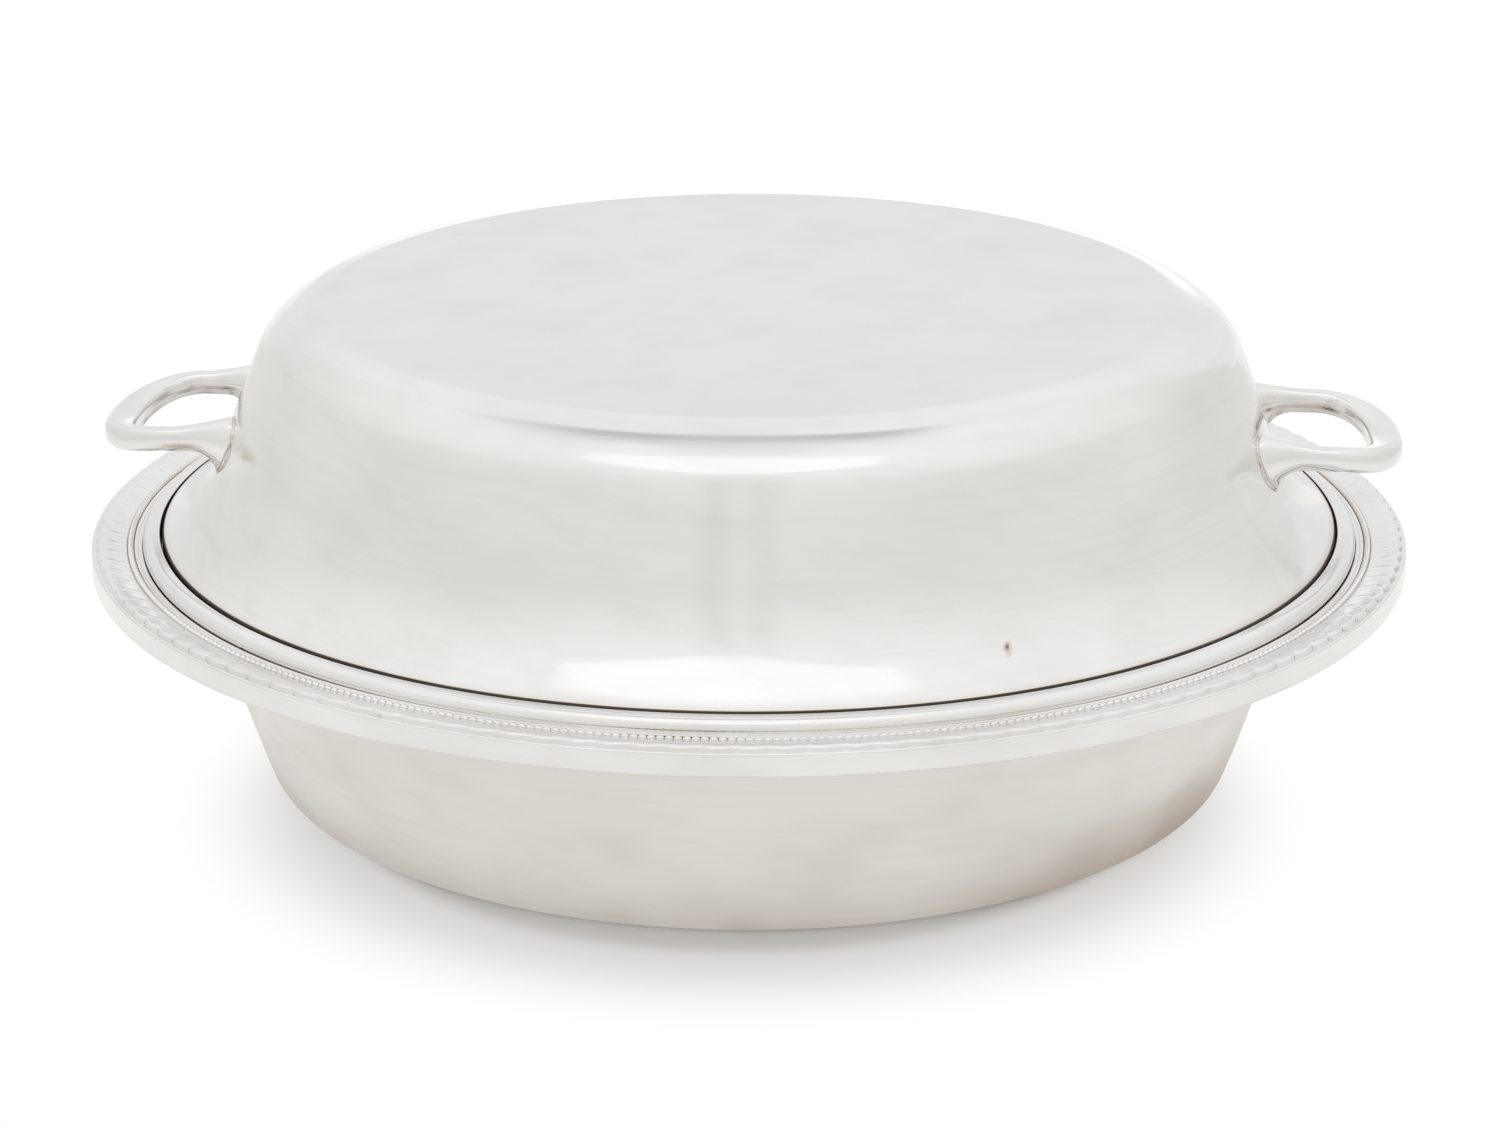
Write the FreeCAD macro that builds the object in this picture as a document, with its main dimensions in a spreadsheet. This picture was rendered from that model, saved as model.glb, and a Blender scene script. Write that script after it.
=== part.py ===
import FreeCAD, Part
import math
import os

import Sketcher
from FreeCAD import Placement, Rotation, Vector

# A round silver entree dish with its cover. Lengths are in millimetres and angles in degrees.
# +Z is up and the origin is the middle of the flat base. The two handles lie on the X axis.

SIZES = [
    # the dish, a raised sheet bowl with a flat flange
    ("rim_radius", 150.0, "outside of the edge wire"),
    ("flange_height", 55.0, "top face of the flange above the table"),
    ("dish_sheet", 1.0, "thickness of the dish sheet"),
    ("base_inset", 44.9, "edge of the flat base inside the rim"),
    ("base_bend", 7.0, "outer radius of the bend between base and wall"),
    ("base_lean", 20.0, "angle of the wall from vertical where it leaves the base bend"),
    ("mouth_lean", 13.0, "angle of the wall from vertical under the flange"),
    ("mouth_bend", 2.0, "radius under the bend between wall and flange"),
    # the wires and the struck strip on the flange
    ("solder_gap", 0.1, "solder seam between two fixed pieces"),
    ("roll_width", 2.9, "width of the edge wire"),
    ("roll_height", 5.9, "height of the edge wire"),
    ("roll_stand", 2.3, "how far the edge wire stands over the flange"),
    ("roll_outer_round", 1.9, "rounding of the edge wire on its outer side"),
    ("roll_inner_bevel", 0.5, "bevel of the edge wire on its inner side"),
    ("tongue_width", 4.9, "width of the strip of tongues"),
    ("tongue_edge_height", 1.05, "height of the strip at both of its edges"),
    ("tongue_crown_height", 1.5, "height of the worn flat crown of the strip"),
    ("tongue_crown_width", 1.7, "width of the worn flat crown of the strip"),
    ("tongue_pitch", 6.88, "distance from tongue to tongue along the middle of the strip"),
    ("dart_length", 3.2, "length of the dart between two tongues"),
    ("dart_width", 1.9, "width of a dart at the edge wire"),
    ("bead_wire_radius", 0.62, "radius of the bead wire"),
    ("reed_width", 0.95, "width of each of the two reeds"),
    ("reed_side_height", 1.0, "height of the sides of the reeded wire"),
    ("reed_bevel", 0.27, "bevel on each side of a reed"),
    # the cover, a second raised bowl that stands mouth down on the flange
    ("cover_height", 110.0, "flat top of the closed cover above the table"),
    ("cover_sheet", 0.9, "thickness of the cover sheet"),
    ("shoulder_top_share", 0.291, "upper radius of the shoulder as a share of the rise of the cover"),
    ("shoulder_side_share", 0.491, "lower radius of the shoulder as a share of the rise of the cover"),
    ("shoulder_break", 45.0, "slope of the shoulder where its two radii meet"),
    ("wall_inset_share", 0.3611, "top of the wall inside the foot as a share of the rise of the cover"),
    ("wall_lean", 16.5, "angle of the cover wall from vertical"),
    ("foot_rise", 3.85, "top of the turned down foot above the flange"),
    ("foot_bend", 1.5, "outer radius of the turned down foot"),
    ("foot_slope", 26.0, "slope of the flare where it meets the foot"),
    ("seat_gap", 0.1, "clearance under the closed cover"),
    ("ring_fit", 0.3, "slit between the foot and the edge ring"),
    ("ring_clearance", 0.6, "play of the edge ring inside the reeded wire"),
    ("ring_width", 3.7, "width of the edge ring"),
    ("ring_height", 3.5, "height of the edge ring"),
    ("ring_outer_round", 2.2, "rounding of the edge ring on its outer side"),
    ("ring_inner_bevel", 0.7, "bevel of the edge ring towards the cover"),
    ("ring_foot_bevel", 0.4, "bevel under the edge ring"),
    # the cast handles
    ("handle_spread", 45.5, "distance between the middles of the two legs"),
    ("handle_share", 0.465, "height of the legs above the flange as a share of the rise of the cover"),
    ("handle_droop", 2.8, "how far the grip hangs below the legs"),
    ("bow_length", 15.7, "length of the bowed part of the handle"),
    ("bow_shape", 2.46, "power of the bow curve, where 2 is an ellipse"),
    ("leg_width", 4.7, "width of a leg"),
    ("leg_thickness", 5.4, "thickness of a leg"),
    ("grip_width", 7.2, "width of the middle of the grip"),
    ("grip_thickness", 6.4, "thickness of the middle of the grip"),
    ("section_shape", 2.3, "power of the section curve, where 2 is an ellipse"),
    ("flare_length", 9.0, "length of the flared end of a leg"),
    ("leg_length", 4.1, "straight part of a leg between its flared end and the bow"),
    ("pad_width", 9.6, "width of the flared end at the wall"),
    ("pad_rise", 4.5, "height of the flared end over the middle of the leg"),
    ("pad_drop", 8.3, "depth of the flared end under the middle of the leg"),
    ("trim_overrun", 3.0, "length of a leg inside the wall that is trimmed away"),
]

doc = FreeCAD.newDocument("entree_dish")
sheet = doc.addObject("Spreadsheet::Sheet", "Size")
for row, (alias, number, meaning) in enumerate(SIZES, start=1):
    sheet.set(f"A{row}", meaning)
    sheet.set(f"B{row}", str(number))
    sheet.setAlias(f"B{row}", alias)
doc.recompute()


def value(expression):
    """Number that an expression on the sizes gives now."""
    return float(sheet.evalExpression(expression))


def size(alias):
    """Number in the cell of one size."""
    return float(sheet.get(alias))


# A profile is a list of steps. A step is the corner where it ends, as expressions for the distance
# from the axis and the height, and for an arc also its radius and the way it turns.

AXIS = "0"
LEFT = 1
RIGHT = -1


def line(x, y):
    """Straight step to a corner."""
    return x, y, None, 0


def arc(x, y, radius, turn):
    """Step to a corner along an arc of under half a circle."""
    return x, y, radius, turn


def arc_geometry(start, end, radius, turn):
    """Arc of a circle from start to end, counterclockwise as sketches keep it."""
    chord = end.sub(start)
    half = chord.Length / 2
    side = Vector(-chord.y, chord.x, 0).normalize() * turn
    centre = start + chord / 2 + side * math.sqrt(max(radius**2 - half**2, 0))
    if turn == RIGHT:
        start, end = end, start
    first = math.atan2(start.y - centre.y, start.x - centre.x)
    last = math.atan2(end.y - centre.y, end.x - centre.x)
    return Part.ArcOfCircle(Part.Circle(centre, Vector(0, 0, 1), radius), first, last)


def place_corner(sketch, geometry, point, x, y):
    """Tie a point of the sketch to the expressions of its corner."""
    for kind, axis, expression in (("DistanceX", -2, x), ("DistanceY", -1, y)):
        if expression == AXIS:
            sketch.addConstraint(Sketcher.Constraint("PointOnObject", geometry, point, axis))
            continue
        rule = Sketcher.Constraint(kind, -1, 1, geometry, point, value(expression))
        number = sketch.addConstraint(rule)
        sketch.setExpression(f"Constraints[{number}]", expression)


def draw_profile(sketch, steps):
    """Draw the closed profile and tie every corner and radius to the sizes."""
    corners = [Vector(value(x), value(y), 0) for x, y, _, _ in steps]
    ends = []
    for number, (_, _, radius, turn) in enumerate(steps):
        start = corners[number - 1]
        end = corners[number]
        if radius is None:
            sketch.addGeometry(Part.LineSegment(start, end), False)
        else:
            sketch.addGeometry(arc_geometry(start, end, value(radius), turn), False)
        ends.append((2, 1) if turn == RIGHT else (1, 2))
    for number, (x, y, radius, _) in enumerate(steps):
        before = (number - 1) % len(steps)
        joint = (before, ends[before][1], number, ends[number][0])
        sketch.addConstraint(Sketcher.Constraint("Coincident", *joint))
        place_corner(sketch, number, ends[number][1], x, y)
        if radius is not None:
            rule = sketch.addConstraint(Sketcher.Constraint("Radius", number, value(radius)))
            sketch.setExpression(f"Constraints[{rule}]", radius)


def new_body(name):
    """Empty body of one piece, labelled with the name of its file."""
    body = doc.addObject("PartDesign::Body", name)
    body.Label = name
    return body


def new_sketch(body, name, plane):
    """Sketch on one of the origin planes of its own body."""
    sketch = body.newObject("Sketcher::SketchObject", name)
    origin = next(item for item in body.Origin.OriginFeatures if item.Role == plane)
    sketch.AttachmentSupport = (origin, [""])
    sketch.MapMode = "FlatFace"
    return sketch


def turned_body(name, steps):
    """Piece turned about the Z axis from one profile."""
    body = new_body(name)
    sketch = new_sketch(body, f"{name}_profile", "XZ_Plane")
    draw_profile(sketch, steps)
    turning = body.newObject("PartDesign::Revolution", f"{name}_turning")
    turning.Profile = sketch
    turning.ReferenceAxis = (sketch, ["V_Axis"])
    turning.Angle = 360
    sketch.Visibility = False
    return body


# The dish sheet. Its outline runs from the base bend up the wall, round the mouth and out along the
# flange. An inset of zero gives the outside and an inset of the sheet gives the inside.

BASE_RADIUS = "(Size.rim_radius - Size.base_inset)"
FLANGE_UNDERSIDE = "(Size.flange_height - Size.dish_sheet)"
WALL_START_Z = "(Size.base_bend * (1 - sin(Size.base_lean)))"
WALL_END_Z = f"({FLANGE_UNDERSIDE} - Size.mouth_bend * (1 - sin(Size.mouth_lean)))"
WALL_RADIUS = f"(({WALL_END_Z} - {WALL_START_Z}) / (sin(Size.base_lean) - sin(Size.mouth_lean)))"
WALL_END_X = (
    f"({BASE_RADIUS} + Size.base_bend * cos(Size.base_lean)"
    f" + {WALL_RADIUS} * (cos(Size.mouth_lean) - cos(Size.base_lean)))"
)
MOUTH_X = f"({WALL_END_X} + Size.mouth_bend * cos(Size.mouth_lean))"
FLANGE_END = "(Size.rim_radius - Size.roll_width - Size.solder_gap)"


def dish_surface(inset):
    """Corners and radii of one face of the dish sheet, from the base to the flange."""
    base = f"(Size.base_bend - {inset})"
    wall = f"({WALL_RADIUS} - {inset})"
    mouth = f"(Size.mouth_bend + {inset})"
    return {
        "base_start": (BASE_RADIUS, inset),
        "base_end": (
            f"{BASE_RADIUS} + {base} * cos(Size.base_lean)",
            f"Size.base_bend - {base} * sin(Size.base_lean)",
        ),
        "wall_end": (
            f"{WALL_END_X} - {inset} * cos(Size.mouth_lean)",
            f"{WALL_END_Z} + {inset} * sin(Size.mouth_lean)",
        ),
        "mouth_end": (MOUTH_X, f"{FLANGE_UNDERSIDE} + {inset}"),
        "base_round": base,
        "wall_round": wall,
        "mouth_round": mouth,
    }


def make_dish_bowl():
    """Raised bowl of the dish with its flange, open at the top."""
    outside = dish_surface(AXIS)
    inside = dish_surface("Size.dish_sheet")
    return turned_body("dish_bowl", [
        line(AXIS, AXIS),
        line(*outside["base_start"]),
        arc(*outside["base_end"], outside["base_round"], LEFT),
        arc(*outside["wall_end"], outside["wall_round"], LEFT),
        arc(*outside["mouth_end"], outside["mouth_round"], RIGHT),
        line(FLANGE_END, FLANGE_UNDERSIDE),
        line(FLANGE_END, "Size.flange_height"),
        line(*inside["mouth_end"]),
        arc(*inside["wall_end"], inside["mouth_round"], LEFT),
        arc(*inside["base_end"], inside["wall_round"], RIGHT),
        arc(*inside["base_start"], inside["base_round"], RIGHT),
        line(AXIS, "Size.dish_sheet"),
    ])


# The border of the flange, from the outside in: edge wire, tongues, beads and reeds. Each piece is
# soldered on the flange and to the one outside it, and the reeds keep the cover in its place.

STRIP_FOOT = "(Size.flange_height + Size.solder_gap)"
TONGUE_INSIDE = f"({FLANGE_END} - Size.tongue_width)"
BEAD_MIDDLE = f"({TONGUE_INSIDE} - Size.solder_gap - Size.bead_wire_radius)"
REED_OUTSIDE = f"({BEAD_MIDDLE} - Size.bead_wire_radius - Size.solder_gap)"
REED_INSIDE = f"({REED_OUTSIDE} - 2 * Size.reed_width)"


def make_edge_roll():
    """Heavy plain wire round the edge of the flange, hanging below its underside."""
    inner = "(Size.rim_radius - Size.roll_width)"
    crown = "(Size.flange_height + Size.roll_stand)"
    foot = f"({crown} - Size.roll_height)"
    outer_round = "Size.roll_outer_round"
    bevel = "Size.roll_inner_bevel"
    return turned_body("dish_edge_roll", [
        line(inner, f"{foot} + {bevel}"),
        line(f"{inner} + {bevel}", foot),
        line(f"Size.rim_radius - {outer_round}", foot),
        arc("Size.rim_radius", f"{foot} + {outer_round}", outer_round, LEFT),
        line("Size.rim_radius", f"{crown} - {outer_round}"),
        arc(f"Size.rim_radius - {outer_round}", crown, outer_round, LEFT),
        line(f"{inner} + {bevel}", crown),
        line(inner, f"{crown} - {bevel}"),
    ])


def make_tongue_border():
    """Struck strip of tongues. A dart cut between each two gives them their pointed ends."""
    outer = FLANGE_END
    edge = f"({STRIP_FOOT} + Size.tongue_edge_height)"
    crown = f"({STRIP_FOOT} + Size.tongue_crown_height)"
    middle = f"({outer} - Size.tongue_width / 2)"
    body = turned_body("tongue_border", [
        line(TONGUE_INSIDE, STRIP_FOOT),
        line(outer, STRIP_FOOT),
        line(outer, edge),
        line(f"{middle} + Size.tongue_crown_width / 2", crown),
        line(f"{middle} - Size.tongue_crown_width / 2", crown),
        line(TONGUE_INSIDE, edge),
    ])
    dart = new_sketch(body, "dart_profile", "XY_Plane")
    mouth = f"({outer} + Size.solder_gap)"
    half = "(Size.dart_width / 2)"
    corners = [(f"({mouth} - Size.dart_length)", AXIS), (mouth, half), (mouth, f"(-{half})")]
    places = [Vector(value(x), value(y), 0) for x, y in corners]
    for number, place in enumerate(places):
        dart.addGeometry(Part.LineSegment(place, places[(number + 1) % len(places)]), False)
    for number, corner in enumerate(corners):
        before = (number - 1) % len(corners)
        dart.addConstraint(Sketcher.Constraint("Coincident", before, 2, number, 1))
        place_corner(dart, number, 1, *corner)
    doc.recompute()
    pocket = body.newObject("PartDesign::Pocket", "dart")
    pocket.Profile = dart
    pocket.Type = "ThroughAll"
    pocket.Reversed = True
    pattern = body.newObject("PartDesign::PolarPattern", "darts")
    pattern.Originals = [pocket]
    pattern.Axis = (dart, ["N_Axis"])
    pattern.Angle = 360
    pattern.setExpression("Occurrences", f"round(2 * pi * {middle} / Size.tongue_pitch)")
    body.Tip = pattern
    dart.Visibility = False
    return body


def make_bead_wire():
    """Round wire that carries the row of beads."""
    body = new_body("bead_wire")
    sketch = new_sketch(body, "bead_wire_profile", "XZ_Plane")
    middle = f"({STRIP_FOOT} + Size.bead_wire_radius)"
    centre = Vector(value(BEAD_MIDDLE), value(middle), 0)
    radius = value("Size.bead_wire_radius")
    sketch.addGeometry(Part.Circle(centre, Vector(0, 0, 1), radius), False)
    place_corner(sketch, 0, 3, BEAD_MIDDLE, middle)
    rule = sketch.addConstraint(Sketcher.Constraint("Radius", 0, radius))
    sketch.setExpression(f"Constraints[{rule}]", "Size.bead_wire_radius")
    turning = body.newObject("PartDesign::Revolution", "bead_wire_turning")
    turning.Profile = sketch
    turning.ReferenceAxis = (sketch, ["V_Axis"])
    turning.Angle = 360
    sketch.Visibility = False
    return body


def make_reeded_wire():
    """Double wire that stands round the cover."""
    side = f"({STRIP_FOOT} + Size.reed_side_height)"
    crown = f"({side} + Size.reed_bevel)"
    middle = f"({REED_OUTSIDE} - Size.reed_width)"
    return turned_body("reeded_wire", [
        line(REED_INSIDE, STRIP_FOOT),
        line(REED_OUTSIDE, STRIP_FOOT),
        line(REED_OUTSIDE, side),
        line(f"{REED_OUTSIDE} - Size.reed_bevel", crown),
        line(f"{middle} + Size.reed_bevel", crown),
        line(middle, side),
        line(f"{middle} - Size.reed_bevel", crown),
        line(f"{REED_INSIDE} + Size.reed_bevel", crown),
        line(REED_INSIDE, side),
    ])


# The cover sheet. Its outline runs from the flat top over the shoulder, down the wall, out along the
# flare and over the turned down foot. The flare is the arc that meets both the wall and the foot.
# The foot stands inside the edge ring, which stands inside the reeded wire of the dish.

COVER_SEAT = "(Size.flange_height + Size.seat_gap)"
RISE = "(Size.cover_height - Size.flange_height)"
RING_OUTSIDE = f"({REED_INSIDE} - Size.ring_clearance)"
RING_INSIDE = f"({RING_OUTSIDE} - Size.ring_width)"
FOOT_RADIUS = f"({RING_INSIDE} - Size.ring_fit)"
TOP_ROUND = f"(Size.shoulder_top_share * {RISE})"
SIDE_ROUND = f"(Size.shoulder_side_share * {RISE})"
WALL_TOP_X = f"({FOOT_RADIUS} - Size.wall_inset_share * {RISE})"
SIDE_X = f"({WALL_TOP_X} - {SIDE_ROUND} * cos(Size.wall_lean))"
SHOULDER_X = f"({SIDE_X} + ({SIDE_ROUND} - {TOP_ROUND}) * sin(Size.shoulder_break))"
SHOULDER_Z = f"(Size.cover_height - {TOP_ROUND})"
SIDE_Z = f"({SHOULDER_Z} - ({SIDE_ROUND} - {TOP_ROUND}) * cos(Size.shoulder_break))"
FOOT_X = f"({FOOT_RADIUS} - Size.foot_bend)"
FOOT_Z = "(Size.flange_height + Size.foot_rise - Size.foot_bend)"
FOOT_TO_WALL = (
    f"(({FOOT_X} + Size.foot_bend * sin(Size.foot_slope) - {SIDE_X}) * cos(Size.wall_lean)"
    f" + ({FOOT_Z} + Size.foot_bend * cos(Size.foot_slope) - {SIDE_Z}) * sin(Size.wall_lean)"
    f" - {SIDE_ROUND})"
)
FLARE_RADIUS = f"({FOOT_TO_WALL} / (1 - sin(Size.foot_slope + Size.wall_lean)))"
FLARE_X = f"({FOOT_X} + (Size.foot_bend + {FLARE_RADIUS}) * sin(Size.foot_slope))"
FLARE_Z = f"({FOOT_Z} + (Size.foot_bend + {FLARE_RADIUS}) * cos(Size.foot_slope))"


def cover_surface(inset):
    """Corners and radii of one face of the cover sheet, from the crease to the foot."""
    top = f"({TOP_ROUND} - {inset})"
    side = f"({SIDE_ROUND} - {inset})"
    flare = f"({FLARE_RADIUS} + {inset})"
    foot = f"(Size.foot_bend - {inset})"
    return {
        "crease": (SHOULDER_X, f"Size.cover_height - {inset}"),
        "break": (
            f"{SHOULDER_X} + {top} * sin(Size.shoulder_break)",
            f"{SHOULDER_Z} + {top} * cos(Size.shoulder_break)",
        ),
        "wall_top": (
            f"{SIDE_X} + {side} * cos(Size.wall_lean)",
            f"{SIDE_Z} + {side} * sin(Size.wall_lean)",
        ),
        "wall_foot": (
            f"{FLARE_X} - {flare} * cos(Size.wall_lean)",
            f"{FLARE_Z} - {flare} * sin(Size.wall_lean)",
        ),
        "foot_start": (
            f"{FOOT_X} + {foot} * sin(Size.foot_slope)",
            f"{FOOT_Z} + {foot} * cos(Size.foot_slope)",
        ),
        "foot_end": (f"{FOOT_X} + {foot}", FOOT_Z),
        "seat": (f"{FOOT_X} + {foot}", COVER_SEAT),
        "top_round": top,
        "side_round": side,
        "flare_round": flare,
        "foot_round": foot,
    }


def outward_steps(face):
    """Steps along one face of the cover sheet, from the axis out to its seat."""
    return [
        line(*face["crease"]),
        arc(*face["break"], face["top_round"], RIGHT),
        arc(*face["wall_top"], face["side_round"], RIGHT),
        line(*face["wall_foot"]),
        arc(*face["foot_start"], face["flare_round"], LEFT),
        arc(*face["foot_end"], face["foot_round"], RIGHT),
        line(*face["seat"]),
    ]


def make_cover_bowl():
    """Raised bowl of the cover, open downwards."""
    outside = cover_surface(AXIS)
    inside = cover_surface("Size.cover_sheet")
    return turned_body("cover_bowl", [
        line(AXIS, "Size.cover_height"),
        *outward_steps(outside),
        line(*inside["seat"]),
        line(*inside["foot_end"]),
        arc(*inside["foot_start"], inside["foot_round"], LEFT),
        arc(*inside["wall_foot"], inside["flare_round"], RIGHT),
        line(*inside["wall_top"]),
        arc(*inside["break"], inside["side_round"], LEFT),
        arc(*inside["crease"], inside["top_round"], LEFT),
        line(AXIS, inside["crease"][1]),
    ])


def make_cover_ring():
    """Plain rounded moulding round the foot of the cover."""
    crown = f"({COVER_SEAT} + Size.ring_height)"
    return turned_body("cover_edge_ring", [
        line(RING_INSIDE, COVER_SEAT),
        line(f"{RING_OUTSIDE} - Size.ring_foot_bevel", COVER_SEAT),
        line(RING_OUTSIDE, f"{COVER_SEAT} + Size.ring_foot_bevel"),
        line(RING_OUTSIDE, f"{crown} - Size.ring_outer_round"),
        arc(f"{RING_OUTSIDE} - Size.ring_outer_round", crown, "Size.ring_outer_round", LEFT),
        line(f"{RING_INSIDE} + Size.ring_inner_bevel", crown),
        line(RING_INSIDE, f"{crown} - Size.ring_inner_bevel"),
    ])


# A cast handle is one loft along a D: a flared foot, a leg, the bow, and back again. Its sections
# are superellipses that widen towards the grip, and the feet are trimmed to the wall of the cover.

SECTION_POINTS = 12
BOW_SECTIONS = 11
LEG_SHARE = 0.45
HANDLE_HEIGHT = f"(Size.flange_height + Size.handle_share * {RISE})"
FLARE_SHARES = (0.0, 0.3, 0.6, 1.0)


def signed_power(number, power):
    """Power of a number that keeps its sign."""
    return math.copysign(abs(number)**power, number)


def section_wire(middle, sideways, width, rise, drop):
    """Closed smooth section in the plane of the Z axis and the sideways direction.

    It reaches half the width to each side, the rise above its middle and the drop below it.
    """
    power = 2 / size("section_shape")
    points = []
    for number in range(SECTION_POINTS):
        angle = 2 * math.pi * number / SECTION_POINTS
        across = signed_power(math.cos(angle), power) * width / 2
        up = signed_power(math.sin(angle), power) * (rise if number < SECTION_POINTS / 2 else drop)
        points.append(middle + sideways * across + Vector(0, 0, up))
    curve = Part.BSplineCurve()
    curve.interpolate(Points=points, PeriodicFlag=True)
    return Part.Wire(curve.toShape())


def leg_sections(side, wall):
    """Sections of one leg from inside the wall to the straight part before the bow."""
    spread = side * size("handle_spread") / 2
    height = value(HANDLE_HEIGHT)
    half = size("leg_thickness") / 2
    sideways = Vector(0, side, 0)
    wires = []
    for share in FLARE_SHARES:
        # The flare opens as a parabola, steepest at the wall.
        flare = (1 - share)**2
        width = size("leg_width") + (size("pad_width") - size("leg_width")) * flare
        rise = half + (size("pad_rise") - half) * flare
        drop = half + (size("pad_drop") - half) * flare
        x = wall + share * size("flare_length")
        if share == 0:
            inside = Vector(wall - size("trim_overrun"), spread, height)
            wires.append(section_wire(inside, sideways, width, rise, drop))
        wires.append(section_wire(Vector(x, spread, height), sideways, width, rise, drop))
    middle = Vector(wall + size("flare_length") + size("leg_length") * LEG_SHARE, spread, height)
    wires.append(section_wire(middle, sideways, size("leg_width"), half, half))
    return wires


def bow_sections(start):
    """Sections round the bow of the handle, wider and lower towards the middle of the grip."""
    power = 2 / size("bow_shape")
    wires = []
    for number in range(BOW_SECTIONS):
        angle = math.pi * number / (BOW_SECTIONS - 1)
        share = math.sin(angle)**power if 0 < number < BOW_SECTIONS - 1 else 0.0
        across = signed_power(math.cos(angle), power)
        height = value(HANDLE_HEIGHT) - size("handle_droop") * share**2
        x = start + size("bow_length") * share
        middle = Vector(x, across * size("handle_spread") / 2, height)
        # The outward normal of the superellipse of the bow.
        steep = size("bow_shape") - 1
        normal = Vector(
            signed_power(share, steep) / size("bow_length"),
            signed_power(across, steep) / (size("handle_spread") / 2),
            0,
        ).normalize()
        width = size("leg_width") + (size("grip_width") - size("leg_width")) * share**2
        thick = size("leg_thickness") + (size("grip_thickness") - size("leg_thickness")) * share**2
        wires.append(section_wire(middle, normal, width, thick / 2, thick / 2))
    return wires


def cover_block():
    """Solid inside the outer face of the cover, one solder seam larger than the cover."""
    steps = [
        line(AXIS, "Size.cover_height + Size.solder_gap"),
        *outward_steps(cover_surface("(-Size.solder_gap)")),
        line(AXIS, COVER_SEAT),
    ]
    edges = []
    corners = [Vector(value(x), value(y), 0) for x, y, _, _ in steps]
    for number, (_, _, radius, turn) in enumerate(steps):
        start = corners[number - 1]
        end = corners[number]
        if radius is None:
            edges.append(Part.LineSegment(start, end).toShape())
        else:
            edges.append(arc_geometry(start, end, value(radius), turn).toShape())
    face = Part.Face(Part.Wire(Part.__sortEdges__(edges)))
    face.rotate(Vector(0, 0, 0), Vector(1, 0, 0), 90)
    return face.revolve(Vector(0, 0, 0), Vector(0, 0, 1), 360)


def make_handles():
    """The two castings, the second one turned half round the axis."""
    wall_top = cover_surface(AXIS)["wall_top"]
    drop = value(wall_top[1]) - value(HANDLE_HEIGHT)
    wall_radius = value(wall_top[0]) + drop * math.tan(math.radians(size("wall_lean")))
    wall = math.sqrt(wall_radius**2 - (size("handle_spread") / 2)**2)
    start = wall + size("flare_length") + size("leg_length")
    far_leg = leg_sections(1, wall)
    near_leg = leg_sections(-1, wall)
    sections = far_leg + bow_sections(start) + near_leg[::-1]
    casting = Part.makeLoft(sections, True, False).cut(cover_block())
    handles = []
    for name, turn in (("right_handle", 0), ("left_handle", 180)):
        handle = doc.addObject("Part::Feature", name)
        handle.Label = name
        handle.Shape = casting
        handle.Placement = Placement(Vector(0, 0, 0), Rotation(Vector(0, 0, 1), turn))
        handles.append(handle)
    return handles


pieces = [
    make_dish_bowl(),
    make_edge_roll(),
    make_tongue_border(),
    make_bead_wire(),
    make_reeded_wire(),
    make_cover_bowl(),
    make_cover_ring(),
    *make_handles(),
]
doc.recompute()

for item in doc.Objects:
    if {"Invalid", "Error"} & set(item.State):
        raise RuntimeError(f"{item.Label} did not compute")

os.makedirs("parts", exist_ok=True)
for piece in pieces:
    shape = piece.Shape
    if shape.isNull() or not shape.isValid() or len(shape.Solids) != 1:
        raise RuntimeError(f"{piece.Label} is not one valid solid")
    shape.exportStep(f"parts/{piece.Label}.step")
    print(f"{piece.Label}: volume {shape.Volume:.0f} cubic mm")
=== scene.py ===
"""Looks of a round silver entree dish with its cover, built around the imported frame.

Sizes in the classes are in millimetres and angles in degrees. A mesh is made in metres, in the row
frame: +Z is up, the origin is the middle of the flat base, and the handles lie on the X axis.
"""

import logging
import math
from dataclasses import dataclass, field
from enum import Enum
from typing import Callable

import bpy
import numpy as np
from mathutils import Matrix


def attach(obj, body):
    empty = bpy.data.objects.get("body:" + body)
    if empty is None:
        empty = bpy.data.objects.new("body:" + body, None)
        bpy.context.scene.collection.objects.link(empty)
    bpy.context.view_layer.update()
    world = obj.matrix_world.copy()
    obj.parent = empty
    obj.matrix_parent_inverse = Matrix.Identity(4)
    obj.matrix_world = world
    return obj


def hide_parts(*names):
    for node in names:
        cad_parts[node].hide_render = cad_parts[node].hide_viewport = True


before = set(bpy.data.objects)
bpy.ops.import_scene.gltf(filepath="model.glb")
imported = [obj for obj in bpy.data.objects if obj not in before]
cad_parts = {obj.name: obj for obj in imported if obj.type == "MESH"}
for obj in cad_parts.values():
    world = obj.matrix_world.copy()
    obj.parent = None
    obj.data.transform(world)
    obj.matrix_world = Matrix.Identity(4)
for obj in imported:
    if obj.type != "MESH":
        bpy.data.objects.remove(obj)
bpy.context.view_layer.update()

MM = 0.001
# Mesh attribute holding patina in the hollows and painted shade, from 0 to 1.
TARNISH_AND_SHADE = "tarnish_and_shade"
FULL_TURN = 2.0 * math.pi
SHEET_CREASE = 38.0
CAST_CREASE = 60.0
FINE_CREASE = 80.0
WHITE = (1.0, 1.0, 1.0)
log = logging.getLogger("entree_dish")

Grid = np.ndarray
Warp = Callable[[Grid, Grid, Grid], tuple[Grid, Grid]]
Field = Callable[[Grid, Grid, Grid], Grid]


class Way(Enum):
    """Way in which an arc of a profile turns."""

    LEFT = 1
    RIGHT = -1


class Body(Enum):
    """Bodies of the frame."""

    DISH = "dish"
    COVER = "cover"


class Slot(Enum):
    """Material slots of the record."""

    RAISED = "raised_silver"
    WIRE = "wire_silver"
    STRUCK = "struck_silver"
    CAST = "cast_silver"


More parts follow.
